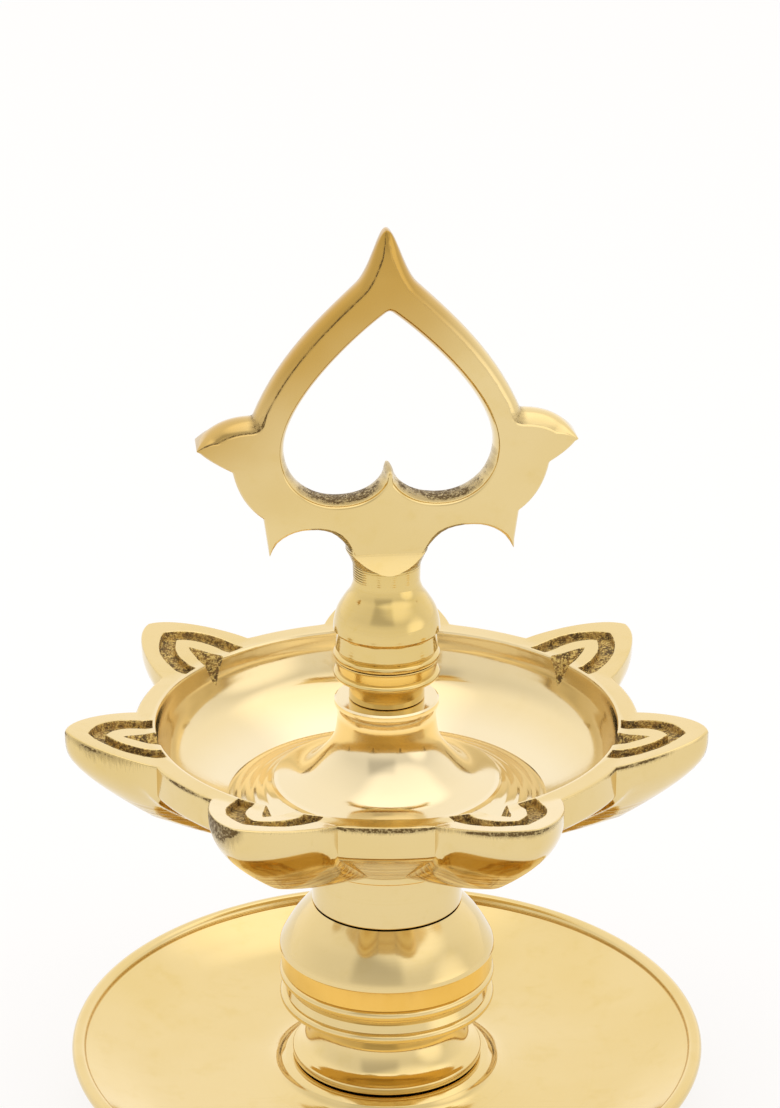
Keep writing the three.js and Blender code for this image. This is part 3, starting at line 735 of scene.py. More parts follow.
def bowl_rows(bowl, turned_sizes):
    """Rows of the bowl's section: what each belongs to, and its (radius, height) or its share."""
    rows = []

    def plainly(*points):
        rows.extend(("turned", point) for point in points)

    bore = turned_sizes.bowl_stud + turned_sizes.clearance
    socket = turned_sizes.bowl_socket - bowl.depth
    plainly((0, socket), (bore, socket), (bore, SOFT - bowl.depth), (bore + SOFT, -bowl.depth),
            (bowl.foot_radius - SOFT, -bowl.depth), (bowl.foot_radius, SOFT - bowl.depth),
            (bowl.foot_radius, -bowl.depth + bowl.foot_band * 0.8))
    for start, end, steps in ((0, 0.44, 24), (0.44, 0.56, 18), (0.56, 0.97, 10)):
        rows.extend(("outside", start + (end - start) * i / steps) for i in range(steps))
    rows.append(("outside", 0.97))
    for i in range(5):
        rows.append(("edge", math.pi / 2 * i / 4))
    for i in range(1, 8):
        rows.append(("top", i / 8))
    plainly((bowl.rim_inner + bowl.rim_edge, 0), (bowl.rim_inner + bowl.rim_edge * 0.3, -bowl.rim_edge * 0.3),
            (bowl.rim_inner, -bowl.rim_edge))
    foot_top = -bowl.boss_foot
    hollow = foot_top - bowl.floor_step
    wall = flowing([
        (bowl.rim_inner, -bowl.rim_edge), (bowl.rim_inner * 0.992, -bowl.oil_depth * 0.3),
        (bowl.rim_inner * 0.92, -bowl.oil_depth * 0.66), (bowl.rim_inner * 0.7, -bowl.oil_depth),
    ], 9)
    plainly(*wall[1:])
    floor_run = bowl.rim_inner * 0.7 - bowl.boss_radius - 1.2 * MM
    ridge_height = 0.11 * MM
    for i in range(1, 25):
        share = i / 24
        ridge = ridge_height * max(0.0, math.sin(share * math.pi * 7)) * (share < 0.93)
        plainly((bowl.rim_inner * 0.7 - floor_run * share,
                 -bowl.oil_depth + (hollow + bowl.oil_depth) * share * share + ridge))
    plainly(*beside(bowl.boss_radius, hollow, (0.3, 0.6)))
    plainly(*beside(bowl.boss_radius, foot_top, (0, -0.6), (-0.3, 0)))
    flare = flowing([
        *beside(bowl.boss_radius, foot_top, (-0.3, 0)), (bowl.boss_radius * 0.77, foot_top * 0.9),
        (bowl.boss_radius * 0.59, foot_top * 0.63), (bowl.boss_radius * 0.47, foot_top * 0.33),
        (bowl.boss_neck, 0), *beside(bowl.boss_neck, bowl.boss_rise, (0.1, -3)),
        *beside(bowl.boss_top, bowl.boss_rise, (0, -1.4)),
    ], 7)
    plainly(*flare[1:])
    top_bore = turned_sizes.loop_stud + turned_sizes.clearance
    top_socket = bowl.boss_rise - turned_sizes.boss_socket
    plainly((bowl.boss_top, bowl.boss_rise - SOFT), (bowl.boss_top - SOFT, bowl.boss_rise),
            (top_bore + SOFT, bowl.boss_rise), (top_bore, bowl.boss_rise - SOFT),
            (top_bore, top_socket), (0, top_socket))
    return rows


def row_point(kind, place, reach, from_spout, bowl, spout):
    """Radius and height of one row of the section where the outline is this far from the axis."""
    if kind == "turned":
        return place
    if kind == "outside":
        radius, height = outside_point(bowl, spout, reach, place)
        if place > 0.9:
            height = min(height, -bowl.rim_edge)
    elif kind == "edge":
        radius = reach - bowl.rim_edge * (1 - math.cos(place))
        height = -bowl.rim_edge * (1 - math.sin(place))
    else:
        radius = reach - bowl.rim_edge + (bowl.rim_inner + bowl.rim_edge - reach + bowl.rim_edge) * place
        height = 0.0
    share = 1.0
    if kind == "outside" and place < 0.3:
        share = place / 0.3
    return radius, height + share * spout_top(spout, radius * math.cos(from_spout))


def skin_left(turn, share):
    """How much casting skin the buff left, by the angle in degrees from the back and the way up the side."""
    left = 0.3 * max(0.0, (share - 0.9) / 0.07) ** 2
    for place, reach, much, start in ROUGH_EDGES:
        distance = abs((turn - place + 180) % 360 - 180) / reach
        rise = max(0.0, min(1.0, (share - start) / (0.97 - start)))
        left = max(left, much * max(0.0, 1 - distance ** 2) * rise ** 1.5)
    return left


def bowl_body(bowl, spout, turned_sizes):
    """The bowl in the round, before the grooves are cut."""
    rows = bowl_rows(bowl, turned_sizes)
    bm = bmesh.new()
    row_of = bm.verts.layers.int.new("row")
    names = ("along", "skin", "lathe", "around", "painted_highlight", "reeded")
    along, skin, lathe, around, painted_highlight, reeded = (bm.verts.layers.float.new(name) for name in names)
    verts = []
    for i, (kind, place) in enumerate(rows):
        radius, height = row_point(kind, place, bowl.rim_outer, math.pi / spout.count, bowl, spout)
        vert = bm.verts.new((0.0, -radius, height))
        vert[row_of] = i
        verts.append(vert)
    for pair in zip(verts, verts[1:]):
        bm.edges.new(pair)
    stations = spout_stations(bowl, spout)
    sweep(bm, len(stations))
    pitch = 2 * math.pi / spout.count
    distances = [0.0]
    for first, second in zip(verts, verts[1:]):
        distances.append(distances[-1] + (second.co - first.co).length)
    for vert in bm.verts:
        kind, place = rows[vert[row_of]]
        turn = math.atan2(vert.co.x, -vert.co.y) % (2 * math.pi)
        angle, reach = stations[round(turn / (2 * math.pi) * len(stations)) % len(stations)]
        from_spout = angle % pitch - pitch / 2
        radius, height = row_point(kind, place, reach, from_spout, bowl, spout)
        if vert.co.xy.length > MERGE:
            vert.co = (radius * math.sin(angle), -radius * math.cos(angle), height)
        vert[along] = distances[vert[row_of]] / MM
        vert[lathe] = 1.0 if kind == "turned" else 0.2
        vert[around] = (angle - math.pi) * reach / MM
        # Painted highlight: the floor and the boss are painted paler, most towards the boss, in place of the
        # bright reflection they show.
        floor_edge = bowl.rim_inner * 0.9
        if kind == "turned" and height < 0 and bowl.boss_radius - MM < radius < floor_edge:
            vert[painted_highlight] = min(1.0, (floor_edge - radius) / (8 * MM)) * 0.5 + 0.4
        elif kind == "turned" and height > -bowl.boss_foot:
            vert[painted_highlight] = 0.7 if radius < bowl.boss_radius else 0.4
        if kind == "outside":
            vert[reeded] = max(0.0, min(1.0, place / 0.05, (0.5 - place) / 0.06))
        if kind == "outside" and place > 0.45:
            vert[skin] = skin_left(math.degrees(angle - math.pi), place)
        elif kind == "edge":
            vert[skin] = math.cos(place) ** 1.5 * skin_left(math.degrees(angle - math.pi), 0.97)
    tidy(bm)
    return bm


def arch(ring, half_width, tip, swell, steps):
    """Pointed arch in plan that springs from a ring: both sides, from one foot round the tip to the other."""
    start = math.sqrt(ring ** 2 - half_width ** 2)
    foot = Vector((start, half_width, 0))
    shoulder = Vector((start + (tip - start) * swell, half_width, 0))
    point = Vector((tip, 0, 0))
    side = interpolate_bezier(foot, foot.lerp(shoulder, 2 / 3), point.lerp(shoulder, 2 / 3), point, steps)
    return [*side, *(Vector((p.x, -p.y, 0)) for p in reversed(side[:-1]))]


def grown(outline, distance):
    """The outline moved outwards by a distance."""
    moved = []
    for i, point in enumerate(outline):
        before, after = outline[i - 1], outline[(i + 1) % len(outline)]
        step = (after - before).normalized()
        moved.append(point + Vector((step.y, -step.x, 0)) * distance)
    return moved


def stacked(bm, rings, rough):
    """A closed body through rings of points, one on the other; the first few bands get the rough finish."""
    made = [[bm.verts.new(point) for point in ring] for ring in rings]
    for level, (lower, upper) in enumerate(zip(made, made[1:])):
        for _, _, face in band(bm, lower, upper):
            face.material_index = SECOND_FINISH if level < rough else 0
    for ring, finish in ((made[0], SECOND_FINISH), (made[-1], 0)):
        edges = ring_edges(bm, ring)
        filled = bmesh.ops.triangle_fill(bm, edges=edges, use_beauty=True, use_dissolve=False)["geom"]
        for face in only(filled, bmesh.types.BMFace):
            face.material_index = finish


def arched_groove(bm, bowl, spout):
    """Cutter for the arched groove round the raised band of a spout."""
    ring = bowl.rim_inner + 0.8 * MM
    outer = arch(ring, spout.groove_half, spout.groove_tip, 0.75, 44)
    inner = arch(ring, spout.band_half, spout.band_tip, 0.72, 36)
    outline = [*outer, *reversed(inner)]
    if sum(a.x * b.y - b.x * a.y for a, b in zip(outline, outline[1:] + outline[:1])) < 0:
        outline.reverse()
    lip = 0.25 * MM
    rings = []
    for growth, rise in ((-lip * 0.8, -spout.groove_depth), (-lip * 0.2, -lip), (lip * 0.3, -lip * 0.35),
                         (lip, lip * 0.2), (lip, 4 * MM)):
        points = grown(outline, growth)
        rings.append([(p.x, p.y, spout_top(spout, q.x) + rise) for p, q in zip(points, outline)])
    stacked(bm, rings, 2)


def wick_channel(bm, bowl, spout):
    """Cutter for the wick channel: a V that deepens and widens from its tip to the bowl's inner wall."""
    run = spout.channel_tip - bowl.rim_inner
    slope = ((-1.04, -0.6), (-1.04, 0.0), (-0.94, 0.08), (-0.62, 0.42), (-0.25, 0.85))
    section = (*slope, (0.0, 1.0), *((-across, share) for across, share in reversed(slope)))
    rings = []
    for i in range(15):
        out = 0.05 * MM + run * 1.9 * i / 14
        half = spout.channel_half * (out / run) ** 0.8
        deep = spout.channel_depth * (out / run) ** 1.1
        top = spout_top(spout, spout.channel_tip - out)
        rings.append([(spout.channel_tip - out, across * half, top - share * deep + CRISP * (share < 0))
                      for across, share in section])
    stacked(bm, rings, len(rings))


def groove_cutters(bowl, spout):
    """Closed bodies that cut the arched groove and the wick channel of every spout."""
    bm = bmesh.new()
    arched_groove(bm, bowl, spout)
    wick_channel(bm, bowl, spout)
    bmesh.ops.recalc_face_normals(bm, faces=bm.faces)
    geometry = [*bm.verts, *bm.edges, *bm.faces]
    swing(bm, math.pi / spout.count - math.pi / 2)
    for k in range(1, spout.count):
        copy = bmesh.ops.duplicate(bm, geom=geometry)["geom"]
        swing(bm, 2 * math.pi * k / spout.count, only(copy, bmesh.types.BMVert))
    noise.seed_set(GROOVE_SEED)
    for vert in bm.verts:
        wander = (noise.noise_vector(vert.co * 900) * 0.1 + noise.noise_vector(vert.co * 250) * 0.15) * MM
        vert.co += Vector((wander.x, wander.y, 0))
    return bm


def scratch_object(name, bm, materials=()):
    """An object that is only needed while a piece is being made."""
    mesh = bpy.data.meshes.new(name)
    bm.to_mesh(mesh)
    bm.free()
    for material in materials:
        mesh.materials.append(material)
    helper = bpy.data.objects.new(name, mesh)
    bpy.context.scene.collection.objects.link(helper)
    return helper


def combined(body, tool, operation, materials=()):
    """One body cut by or joined to another; the marks that the body carried are kept."""
    marks = set(body.verts.layers.float.keys())
    kept = []
    for source in (body, tool):
        layers = {name: source.verts.layers.float.get(name) for name in marks}
        if source is tool and None in layers.values():
            continue
        for vert in source.verts:
            kept.append((vert.co.copy(), {name: vert[layer] for name, layer in layers.items()}))
    tree = KDTree(len(kept))
    for i, (place, _) in enumerate(kept):
        tree.insert(place, i)
    tree.balance()
    first = scratch_object("body", body, materials)
    second = scratch_object("tool", tool, materials)
    boolean = first.modifiers.new("Cut", "BOOLEAN")
    boolean.object = second
    boolean.operation = operation
    boolean.solver = "MANIFOLD"
    shaped = first.evaluated_get(bpy.context.evaluated_depsgraph_get())
    result = bmesh.new()
    result.from_mesh(shaped.to_mesh())
    shaped.to_mesh_clear()
    for name in marks:
        layer = result.verts.layers.float.get(name) or result.verts.layers.float.new(name)
        for vert in result.verts:
            vert[layer] = kept[tree.find(vert.co)[1]][1][name]
    for helper in (first, second):
        mesh = helper.data
        bpy.data.objects.remove(helper)
        bpy.data.meshes.remove(mesh)
    return result


# The loop

def curve_points(start, moves, steps):
    """Points along a chain of curves; a move has one, two or three points, the last being its end."""
    points = [Vector((*start, 0))]
    for move in moves:
        ends = [Vector((*p, 0)) for p in move]
        begin, end = points[-1], ends[-1]
        if len(ends) == 1:
            first, second = begin.lerp(end, 1 / 3), begin.lerp(end, 2 / 3)
        elif len(ends) == 2:
            first, second = begin.lerp(ends[0], 2 / 3), end.lerp(ends[0], 2 / 3)
        else:
            first, second = ends[0], ends[1]
        points.extend(interpolate_bezier(begin, first, second, end, steps + 1)[1:])
    return points


def plate_half(loop):
    """Right half of the plate's outline, from the tip down to the neck."""
    tip_foot = (loop.tip_reach, loop.height - loop.tip_length)
    upper = (loop.upper_notch_reach, loop.upper_notch_height)
    leaf = (loop.leaf_reach, loop.leaf_height)
    lower = (loop.lower_notch_reach, loop.lower_notch_height)
    notch = (loop.spike_notch_reach, loop.spike_notch_height)
    foot = (loop.neck_radius * 1.22, loop.arch_foot)
    fall = tip_foot[1] - upper[1]
    run = upper[0] - tip_foot[0]
    return curve_points((0, loop.height), [
        [(tip_foot[0] * 0.31, loop.height),
         (tip_foot[0] * 0.53, loop.height - loop.tip_length * 0.74), tip_foot],
        [(tip_foot[0] + run * 0.34, tip_foot[1] - fall * 0.25),
         (tip_foot[0] + run * 0.76, tip_foot[1] - fall * 0.55), upper],
        [(leaf[0] * 0.91, upper[1]), leaf],
        [(leaf[0] * 0.95, (leaf[1] + lower[1]) / 2), lower],
        [(lower[0] * 0.96, (notch[1] * 2 + lower[1]) / 3), notch],
        [(loop.spike_reach, loop.spike_height)],
        [(loop.arch_reach * 1.33, loop.arch_height * 1.21),
         (loop.arch_reach * 0.72, loop.arch_height * 1.25), foot],
        [(loop.neck_radius * 1.05, foot[1] * 0.45), (loop.neck_radius * 0.95, -loop.arch_foot * 0.2)],
    ], PLATE_STEPS)


def opening_half(loop):
    """Right half of the heart-shaped opening, from its apex down to the cusp."""
    fall = loop.opening_top - loop.opening_widest
    drop = loop.opening_widest - loop.lobe_height
    rise = loop.cusp_height - loop.lobe_height
    return curve_points((0, loop.opening_top), [
        [(loop.opening_reach * 0.29, loop.opening_top - fall * 0.156),
         (loop.opening_reach, loop.opening_widest + fall * 0.36), (loop.opening_reach, loop.opening_widest)],
        [(loop.opening_reach, loop.opening_widest - drop * 0.61),
         (loop.opening_reach * 0.765, loop.lobe_height), (loop.lobe_reach, loop.lobe_height)],
        [(loop.lobe_reach * 0.58, loop.lobe_height), (loop.lobe_reach * 0.24, loop.lobe_height + rise * 0.24),
         (1.1 * MM, loop.cusp_height - 1.5 * MM)],
        [(0.9 * MM, loop.cusp_height), (0, loop.cusp_height)],
    ], OPENING_STEPS)


def both_halves(half, reaches, shift_at):
    """Both halves of an outline, shifted sideways; the third number is the reach of the bevel there."""
    right = [Vector((p.x + shift_at(p), p.y, reach)) for p, reach in zip(half, reaches)]
    left = [Vector((shift_at(p) - p.x, p.y, reach)) for p, reach in zip(half, reaches) if p.x > MERGE]
    return [*right, *reversed(left)]


def eased(outline, reach):
    """The outline with its sharp corners slightly rounded."""
    points = []
    for i, point in enumerate(outline):
        arrive = point - outline[i - 1]
        leave = outline[(i + 1) % len(outline)] - point
        if arrive.xy.angle(leave.xy) > 0.5:
            start = point - arrive * min(0.48, reach / arrive.length)
            end = point + leave * min(0.48, reach / leave.length)
            points.extend((start, start.lerp(point, 0.6).lerp(end, 0.2), (start + end + point * 2) / 4,
                           end.lerp(point, 0.6).lerp(start, 0.2), end))
        else:
            points.append(point)
    return points


def metal_across(flat, point, square, most):
    """Distance from a point of an outline straight across the metal, but no more than the most."""
    for first, second in zip(flat, flat[1:] + flat[:1]):
        turn = square.cross(second - first)
        if abs(turn) < 1e-12:
            continue
        distance = (first - point).cross(second - first) / turn
        share = (first - point).cross(square) / turn
        if distance > 0.05 * MM and 0 <= share <= 1:
            most = min(most, distance)
    return most


def inward_steps(outline, into_left):
    """For each point of an outline, the step square to it into the metal, held to a share of the metal."""
    count = len(outline)
    flat = [Vector(point.xy) for point in outline]
    squares, reaches = [], []
    for i, point in enumerate(flat):
        way = (flat[(i + 1) % count] - point).normalized() + (point - flat[i - 1]).normalized()
        way.normalize()
        square = Vector((-way.y, way.x)) if into_left else Vector((way.y, -way.x))
        reach = outline[i].z
        squares.append(square)
        reaches.append(min(reach, metal_across(flat, point, square, reach * 4) * 0.3))
    for i in range(count):
        gap = flat[(i + 1) % count] - flat[i - 1]
        closing = (squares[i - 1] - squares[(i + 1) % count]).dot(gap.normalized())
        if closing > 0:
            reaches[i] = min(reaches[i], 0.55 * gap.length / closing)
    for _ in range(2):
        for i in [*range(count), *reversed(range(count))]:
            for j in (i - 1, (i + 1) % count):
                reaches[i] = min(reaches[i], reaches[j] + (flat[i] - flat[j]).length * 0.5)
    return [square * reach for square, reach in zip(squares, reaches)]


def plate_outline(loop):
    """The plate's outline with the reach of its bevel, and the place of an arch's top on it."""
    half = plate_half(loop)
    bevel, lip = loop.bevel, loop.lip
    curves = (bevel, bevel, bevel * 1.2, lip, lip, lip, lip * 0.3, lip * 0.3)
    reaches = [curves[min(i // PLATE_STEPS, 7)] for i in range(len(half))]
    for i in range(ARCH_START, ARCH_START + PLATE_STEPS):
        beyond = (half[i].x - loop.neck_radius - 1.5 * MM) / (3 * MM)
        reaches[i] = loop.arch_lip * min(1.0, max(0.2, beyond))
    for i in range(ARCH_TOP, len(half)):
        back = min(1.0, (i - ARCH_TOP) / 3) * lip * 0.8
        half[i] += Vector((-0.7, 0.7, 0)) * back
    leaf_fall = loop.leaf_height - loop.lower_notch_height
    upright = loop.arch_reach - loop.neck_radius

    def aside(p):
        below = min(1.0, max(0.0, (loop.leaf_height - p.y) / leaf_fall))
        return loop.corner_shift * below * min(1.0, max(0.0, (p.x - loop.neck_radius) / upright))

    return eased(both_halves(half, reaches, aside), SOFT), half[ARCH_TOP]


def edge_skin(loop, point, hollow, row, level):
    """Casting skin on the plate's edge: in the opening's lobes, on the upper bevel and in the upper notch."""
    if hollow:
        deep = min(1.0, max(0.0, loop.opening_widest - point.y) / (loop.opening_widest - loop.lobe_height))
        left = 0.43 + 0.22 * deep ** 2 if deep > 0 else 0.0
        return left * min(1.0, max(0.0, (0.9 - level) / 0.15))
    if point.y <= loop.leaf_height:
        return 0.0
    notch = Vector((loop.upper_notch_reach, loop.upper_notch_height))
    near = (Vector((abs(point.x), point.y)) - notch).length
    in_notch = 0.6 * (1 - near / (2.2 * MM)) * (row < 6)
    return max(in_notch, BEVEL_SKIN.get(row, 0.0) * (1.0 if point.x < 0 else 0.5))


def edge_place(loop, point, step, inset, level, hollow, on_flare):
    """Place on the plate's edge beside a point of its outline, and its distance from the plate's middle."""
    half = loop.thickness / 2
    place = point.xy + step * inset
    if level and not hollow:
        level = 1 - (1 - level) * min(1.0, step.length / loop.bevel) ** 0.6
    if on_flare:
        swept = math.sqrt(max(0.0, place.x ** 2 - (half * level) ** 2))
        place.x = math.copysign(swept, place.x)
    pinch = max(0.0, (point.y - loop.height) / loop.tip_length + 0.9)
    return place, half * level * (1 - 0.75 * pinch ** 2)


def plate_edge(bm, loop, points, hollow, arch_top):
    """Both halves of an edge of the plate, from its middle to its faces; gives the edges round each face."""
    along = bm.verts.layers.float["along"]
    skin = bm.verts.layers.float["skin"]
    steps = inward_steps(points, hollow)
    reach, height = arch_top.x + MERGE, arch_top.y + MERGE
    cut = [not hollow and p.y < height and abs(p.x) < reach for p in points]
    faces = {}
    for side in (1, -1):
        previous = None
        for row, (inset, level) in enumerate(OPENING_EDGE if hollow else OUTER_EDGE):
            below_face = level < 0.97
            ring = []
            for point, step, on_flare in zip(points, steps, cut):
                place, depth = edge_place(loop, point, step, inset, level, hollow, on_flare)
                vert = bm.verts.new((place.x, -side * depth, place.y))
                vert[along] = place.y / MM
                if on_flare:
                    vert[skin] = 0.5 if level and below_face else 0.0
                else:
                    vert[skin] = edge_skin(loop, point, hollow, row, level)
                ring.append(vert)
            if previous:
                for i, j, face in band(bm, previous, ring):
                    face.material_index = SECOND_FINISH if cut[i] and cut[j] and below_face else 0
            previous = ring
        faces[side] = ring_edges(bm, previous)
    return faces


def plate_body(loop):
    """The loop's plate, lying in the XZ plane, with bevelled edges and the opening cut through it."""
    bm = bmesh.new()
    for name in ("along", "skin", "lathe"):
        bm.verts.layers.float.new(name)
    outline, arch_top = plate_outline(loop)
    half = opening_half(loop)
    opening = eased(both_halves(half, [loop.opening_draft] * len(half), lambda p: loop.opening_shift), BLUNT)
    outer = plate_edge(bm, loop, outline, False, arch_top)
    inner = plate_edge(bm, loop, opening, True, arch_top)
    for side in (1, -1):
        bmesh.ops.triangle_fill(bm, edges=outer[side] + inner[side], use_beauty=True, use_dissolve=False)
    tidy(bm)
    return bm


def loop_neck(loop, turned_sizes):
    """Turned foot of the loop: a lip, a plain band, the bell, and the neck that flares into the arches."""
    bore = turned_sizes.loop_stud + turned_sizes.clearance
    socket = turned_sizes.loop_socket
    bell, neck, foot = loop.bell_radius, loop.neck_radius, loop.bell_foot
    curve = flowing([
        *beside(bell, foot, (0, 0), (-0.1, 1.3), (-0.4, 2.9), (-0.9, 4.5), (-1.7, 6)),
        *beside(neck, foot, (1.8, 7.7), (0.7, 9.3), (0.1, 11)), (neck, loop.bell_height),
    ], 5)
    flare = [(p.x, loop.neck_height + p.y) for p in reversed(plate_half(loop)[ARCH_TOP:])
             if p.y > 0.4 * MM and p.x < neck + 2.4 * MM]
    ceiling = loop.neck_height + loop.arch_height + 1.2 * MM
    bm = turned([
        (0, socket), (bore, socket), (bore, 0, CORNER), (bell - 0.2 * MM, 0, CORNER),
        (bell, 0.7 * MM, CORNER), (bell - 0.1 * MM, 1.3 * MM, CORNER),
        *beside(bell, 0, (-0.9, 1.7), (-0.9, 1.9), (-0.5, 2.3), (-0.4, 2.6)),
        *beside(bell, foot, (-0.9, -1.3), (-0.9, -1), (-0.7, -0.7), (-0.1, -0.1)),
        *curve, *flare, (flare[-1][0], ceiling), (0, ceiling),
    ], steps=144)
    for face in bm.faces:
        face.material_index = SECOND_FINISH
    return bm


def cheeks(loop):
    """A slab as thick as the plate, widened in a cove to clear the neck, that the flare is cut with."""
    bm = bmesh.new()
    clear = 30 * MM
    face = loop.thickness / 2 - 0.03 * MM
    wide = loop.neck_radius + 0.1 * MM
    cove_height = loop.arch_foot * 1.05
    outside = [(clear, -2 * MM), (clear, loop.neck_height), (wide, loop.neck_height)]
    for i in range(1, 10):
        share = i / 9
        reach = face + (wide - face) * (1 - share) ** 1.05
        outside.append((reach, loop.neck_height + cove_height * share))
    outside.append((face, loop.neck_height + 20 * MM))
    ring = [(-y, z) for y, z in outside] + [(y, z) for y, z in reversed(outside)]
    sheet = bm.faces.new([bm.verts.new((-clear, y, z)) for y, z in ring])
    made = bmesh.ops.extrude_face_region(bm, geom=[sheet])["geom"]
    bmesh.ops.translate(bm, verts=only(made, bmesh.types.BMVert), vec=(clear * 2, 0, 0))
    bmesh.ops.recalc_face_normals(bm, faces=bm.faces)
    return bm


# Operators, one for each piece or group of like pieces

def sizes():
    """The scene's groups of sizes: bowl, spouts, loop, and the plainly turned pieces."""
    scene = bpy.context.scene
    return scene.lamp_bowl, scene.lamp_spouts, scene.lamp_loop, scene.lamp_turned


class LAMP_OT_bowl(bpy.types.Operator):
    """Casts the bowl with its spouts and its boss, and cuts the grooves"""

    bl_idname = "lamp.bowl"
    bl_label = "Build the Bowl"

    def execute(self, context):
        bowl, spout, _, turned_sizes = sizes()
        finishes = [polished_brass("bowl_brass", gloss=0.1, feed=0.003, waviness=0.05, pitting=1.0),
                    cast_recess("bowl_recess")]
        body = bowl_body(bowl, spout, turned_sizes)
        bm = combined(body, groove_cutters(bowl, spout), "DIFFERENCE", finishes)
        lift(bm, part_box("lamp_bowl")[0].z + bowl.depth)
        finished("spouted_bowl", bm, "bowl", finishes, ["lamp_bowl"])
        return {"FINISHED"}


class LAMP_OT_loop(bpy.types.Operator):
    """Casts the heart-shaped loop with its neck and bell"""

    bl_idname = "lamp.loop"
    bl_label = "Build the Loop"

    def execute(self, context):
        _, _, loop, turned_sizes = sizes()
        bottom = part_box("heart_loop")[0].z
        neck_level = (bottom + loop.neck_height) / MM
        # The loop's plate carries painted shade that deepens towards its upper left.
        finishes = [polished_brass("loop_brass", gloss=0.1, feed=0.003, waviness=0.06, pitting=0.6,
                                   shade_drift=1.0),
                    # The neck's coarse ridges carry painted shade in their troughs.
                    polished_brass("neck_brass", gloss=0.1, feed=0.012, waviness=0.03, pitting=0.0,
                                   ridged=neck_level, warmth=0.5)]
        plate = plate_body(loop)
        lift(plate, loop.neck_height)
        neck = combined(loop_neck(loop, turned_sizes), cheeks(loop), "INTERSECT", finishes)
        bm = combined(plate, neck, "UNION", finishes)
        swing(bm, loop.turn)
        lift(bm, bottom)
        finished("heart_hanger", bm, "loop", finishes, ["heart_loop"])
        return {"FINISHED"}


class LAMP_OT_collar(bpy.types.Operator):
    """Turns the beaded collar between the loop and the bowl"""

    bl_idname = "lamp.collar"
    bl_label = "Build the Collar"

    def execute(self, context):
        size = context.scene.lamp_turned
        low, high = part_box("beaded_collar")
        bottom, top = low.z - 0.2 * MM, high.z + 0.1 * MM
        bore = size.loop_stud + size.clearance
        neck_top = bottom + size.collar_neck_height
        radius = size.collar_bead
        bm = turned([
            (bore, bottom, CORNER), (size.collar_neck, bottom, CORNER), (size.collar_neck, neck_top, SOFT),
            (radius - 0.9 * MM, neck_top + 0.4 * MM, CRISP),
            *bead(radius, neck_top + 0.7 * MM, size.collar_bead_height),
            *beside(radius, top, (-0.7, -1.9), (-0.5, -0.9)), (radius - 0.3 * MM, top, CORNER),
            (bore, top, CORNER),
        ], closed=True)
        finishes = [polished_brass("collar_brass", gloss=0.09, feed=0.006, waviness=0.02, pitting=0.0,
                                   warmth=0.6)]
        finished("collar_with_bead", bm, "collar", finishes, ["beaded_collar"])
        return {"FINISHED"}


class LAMP_OT_stem(bpy.types.Operator):
    """Turns the stem and the plain ring above it"""

    bl_idname = "lamp.stem"
    bl_label = "Build the Stem"

    def execute(self, context):
        size = context.scene.lamp_turned
        finishes = [polished_brass("stem_brass", gloss=0.09, feed=0.004, waviness=0.02, pitting=0.3)]
        low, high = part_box("lower_stem")
        bottom, top = low.z, high.z
        upper_bore = size.bowl_stud + size.clearance
        lower_bore = size.base_stud + size.clearance
        lower_socket, upper_socket = bottom + size.base_socket, top - size.stem_socket
        waist_top = bottom + (top - bottom) * 0.34
        lower_bead = waist_top + MM
        upper_bead = lower_bead + size.stem_bead + 3.4 * MM
        band_foot = upper_bead + size.stem_bead + 0.3 * MM
        band_radius = size.stem_bell - 0.5 * MM
        waist = flowing([
            *beside(size.stem_foot, bottom, (-1, 2.1)),
            *beside(size.stem_waist, bottom, (2.6, 3.6), (0.5, 7), (0, 10)),
            *beside(size.stem_waist, waist_top, (1.2, 0), (4, 0.6)),
        ], 6)
        shoulder = flowing([
            *beside(size.stem_bell, band_foot, (0, 5.1), (-0.6, 7)),
            *beside(size.stem_neck, top, (4.3, -5.1), (0, 0)),
        ], 8)
        bm = turned([
            (0, lower_socket), (lower_bore, lower_socket), (lower_bore, bottom, CORNER),
            (size.stem_foot, bottom, WORN), (size.stem_foot, bottom + 1.8 * MM, SOFT), *waist,
            *bead(size.stem_bell, lower_bead, size.stem_bead),
            *beside(band_radius, lower_bead + size.stem_bead, (-1.4, 1.7)),
            *bead(size.stem_bell, upper_bead, size.stem_bead),
            *beside(band_radius, band_foot, (0, 0), (0, 4.6)), *shoulder,
            (upper_bore, top, CORNER), (upper_bore, upper_socket), (0, upper_socket),
        ], steps=160)
        finished("turned_stem", bm, "base", finishes, ["lower_stem"])
        low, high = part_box("stem_ring")
        ring = turned([
            (upper_bore, low.z, CORNER), (size.stem_neck, low.z, SOFT), (size.stem_neck, high.z, SOFT),
            (upper_bore, high.z, CORNER),
        ], closed=True)
        finished("plain_ring", ring, "ring", finishes, ["stem_ring"])
        return {"FINISHED"}


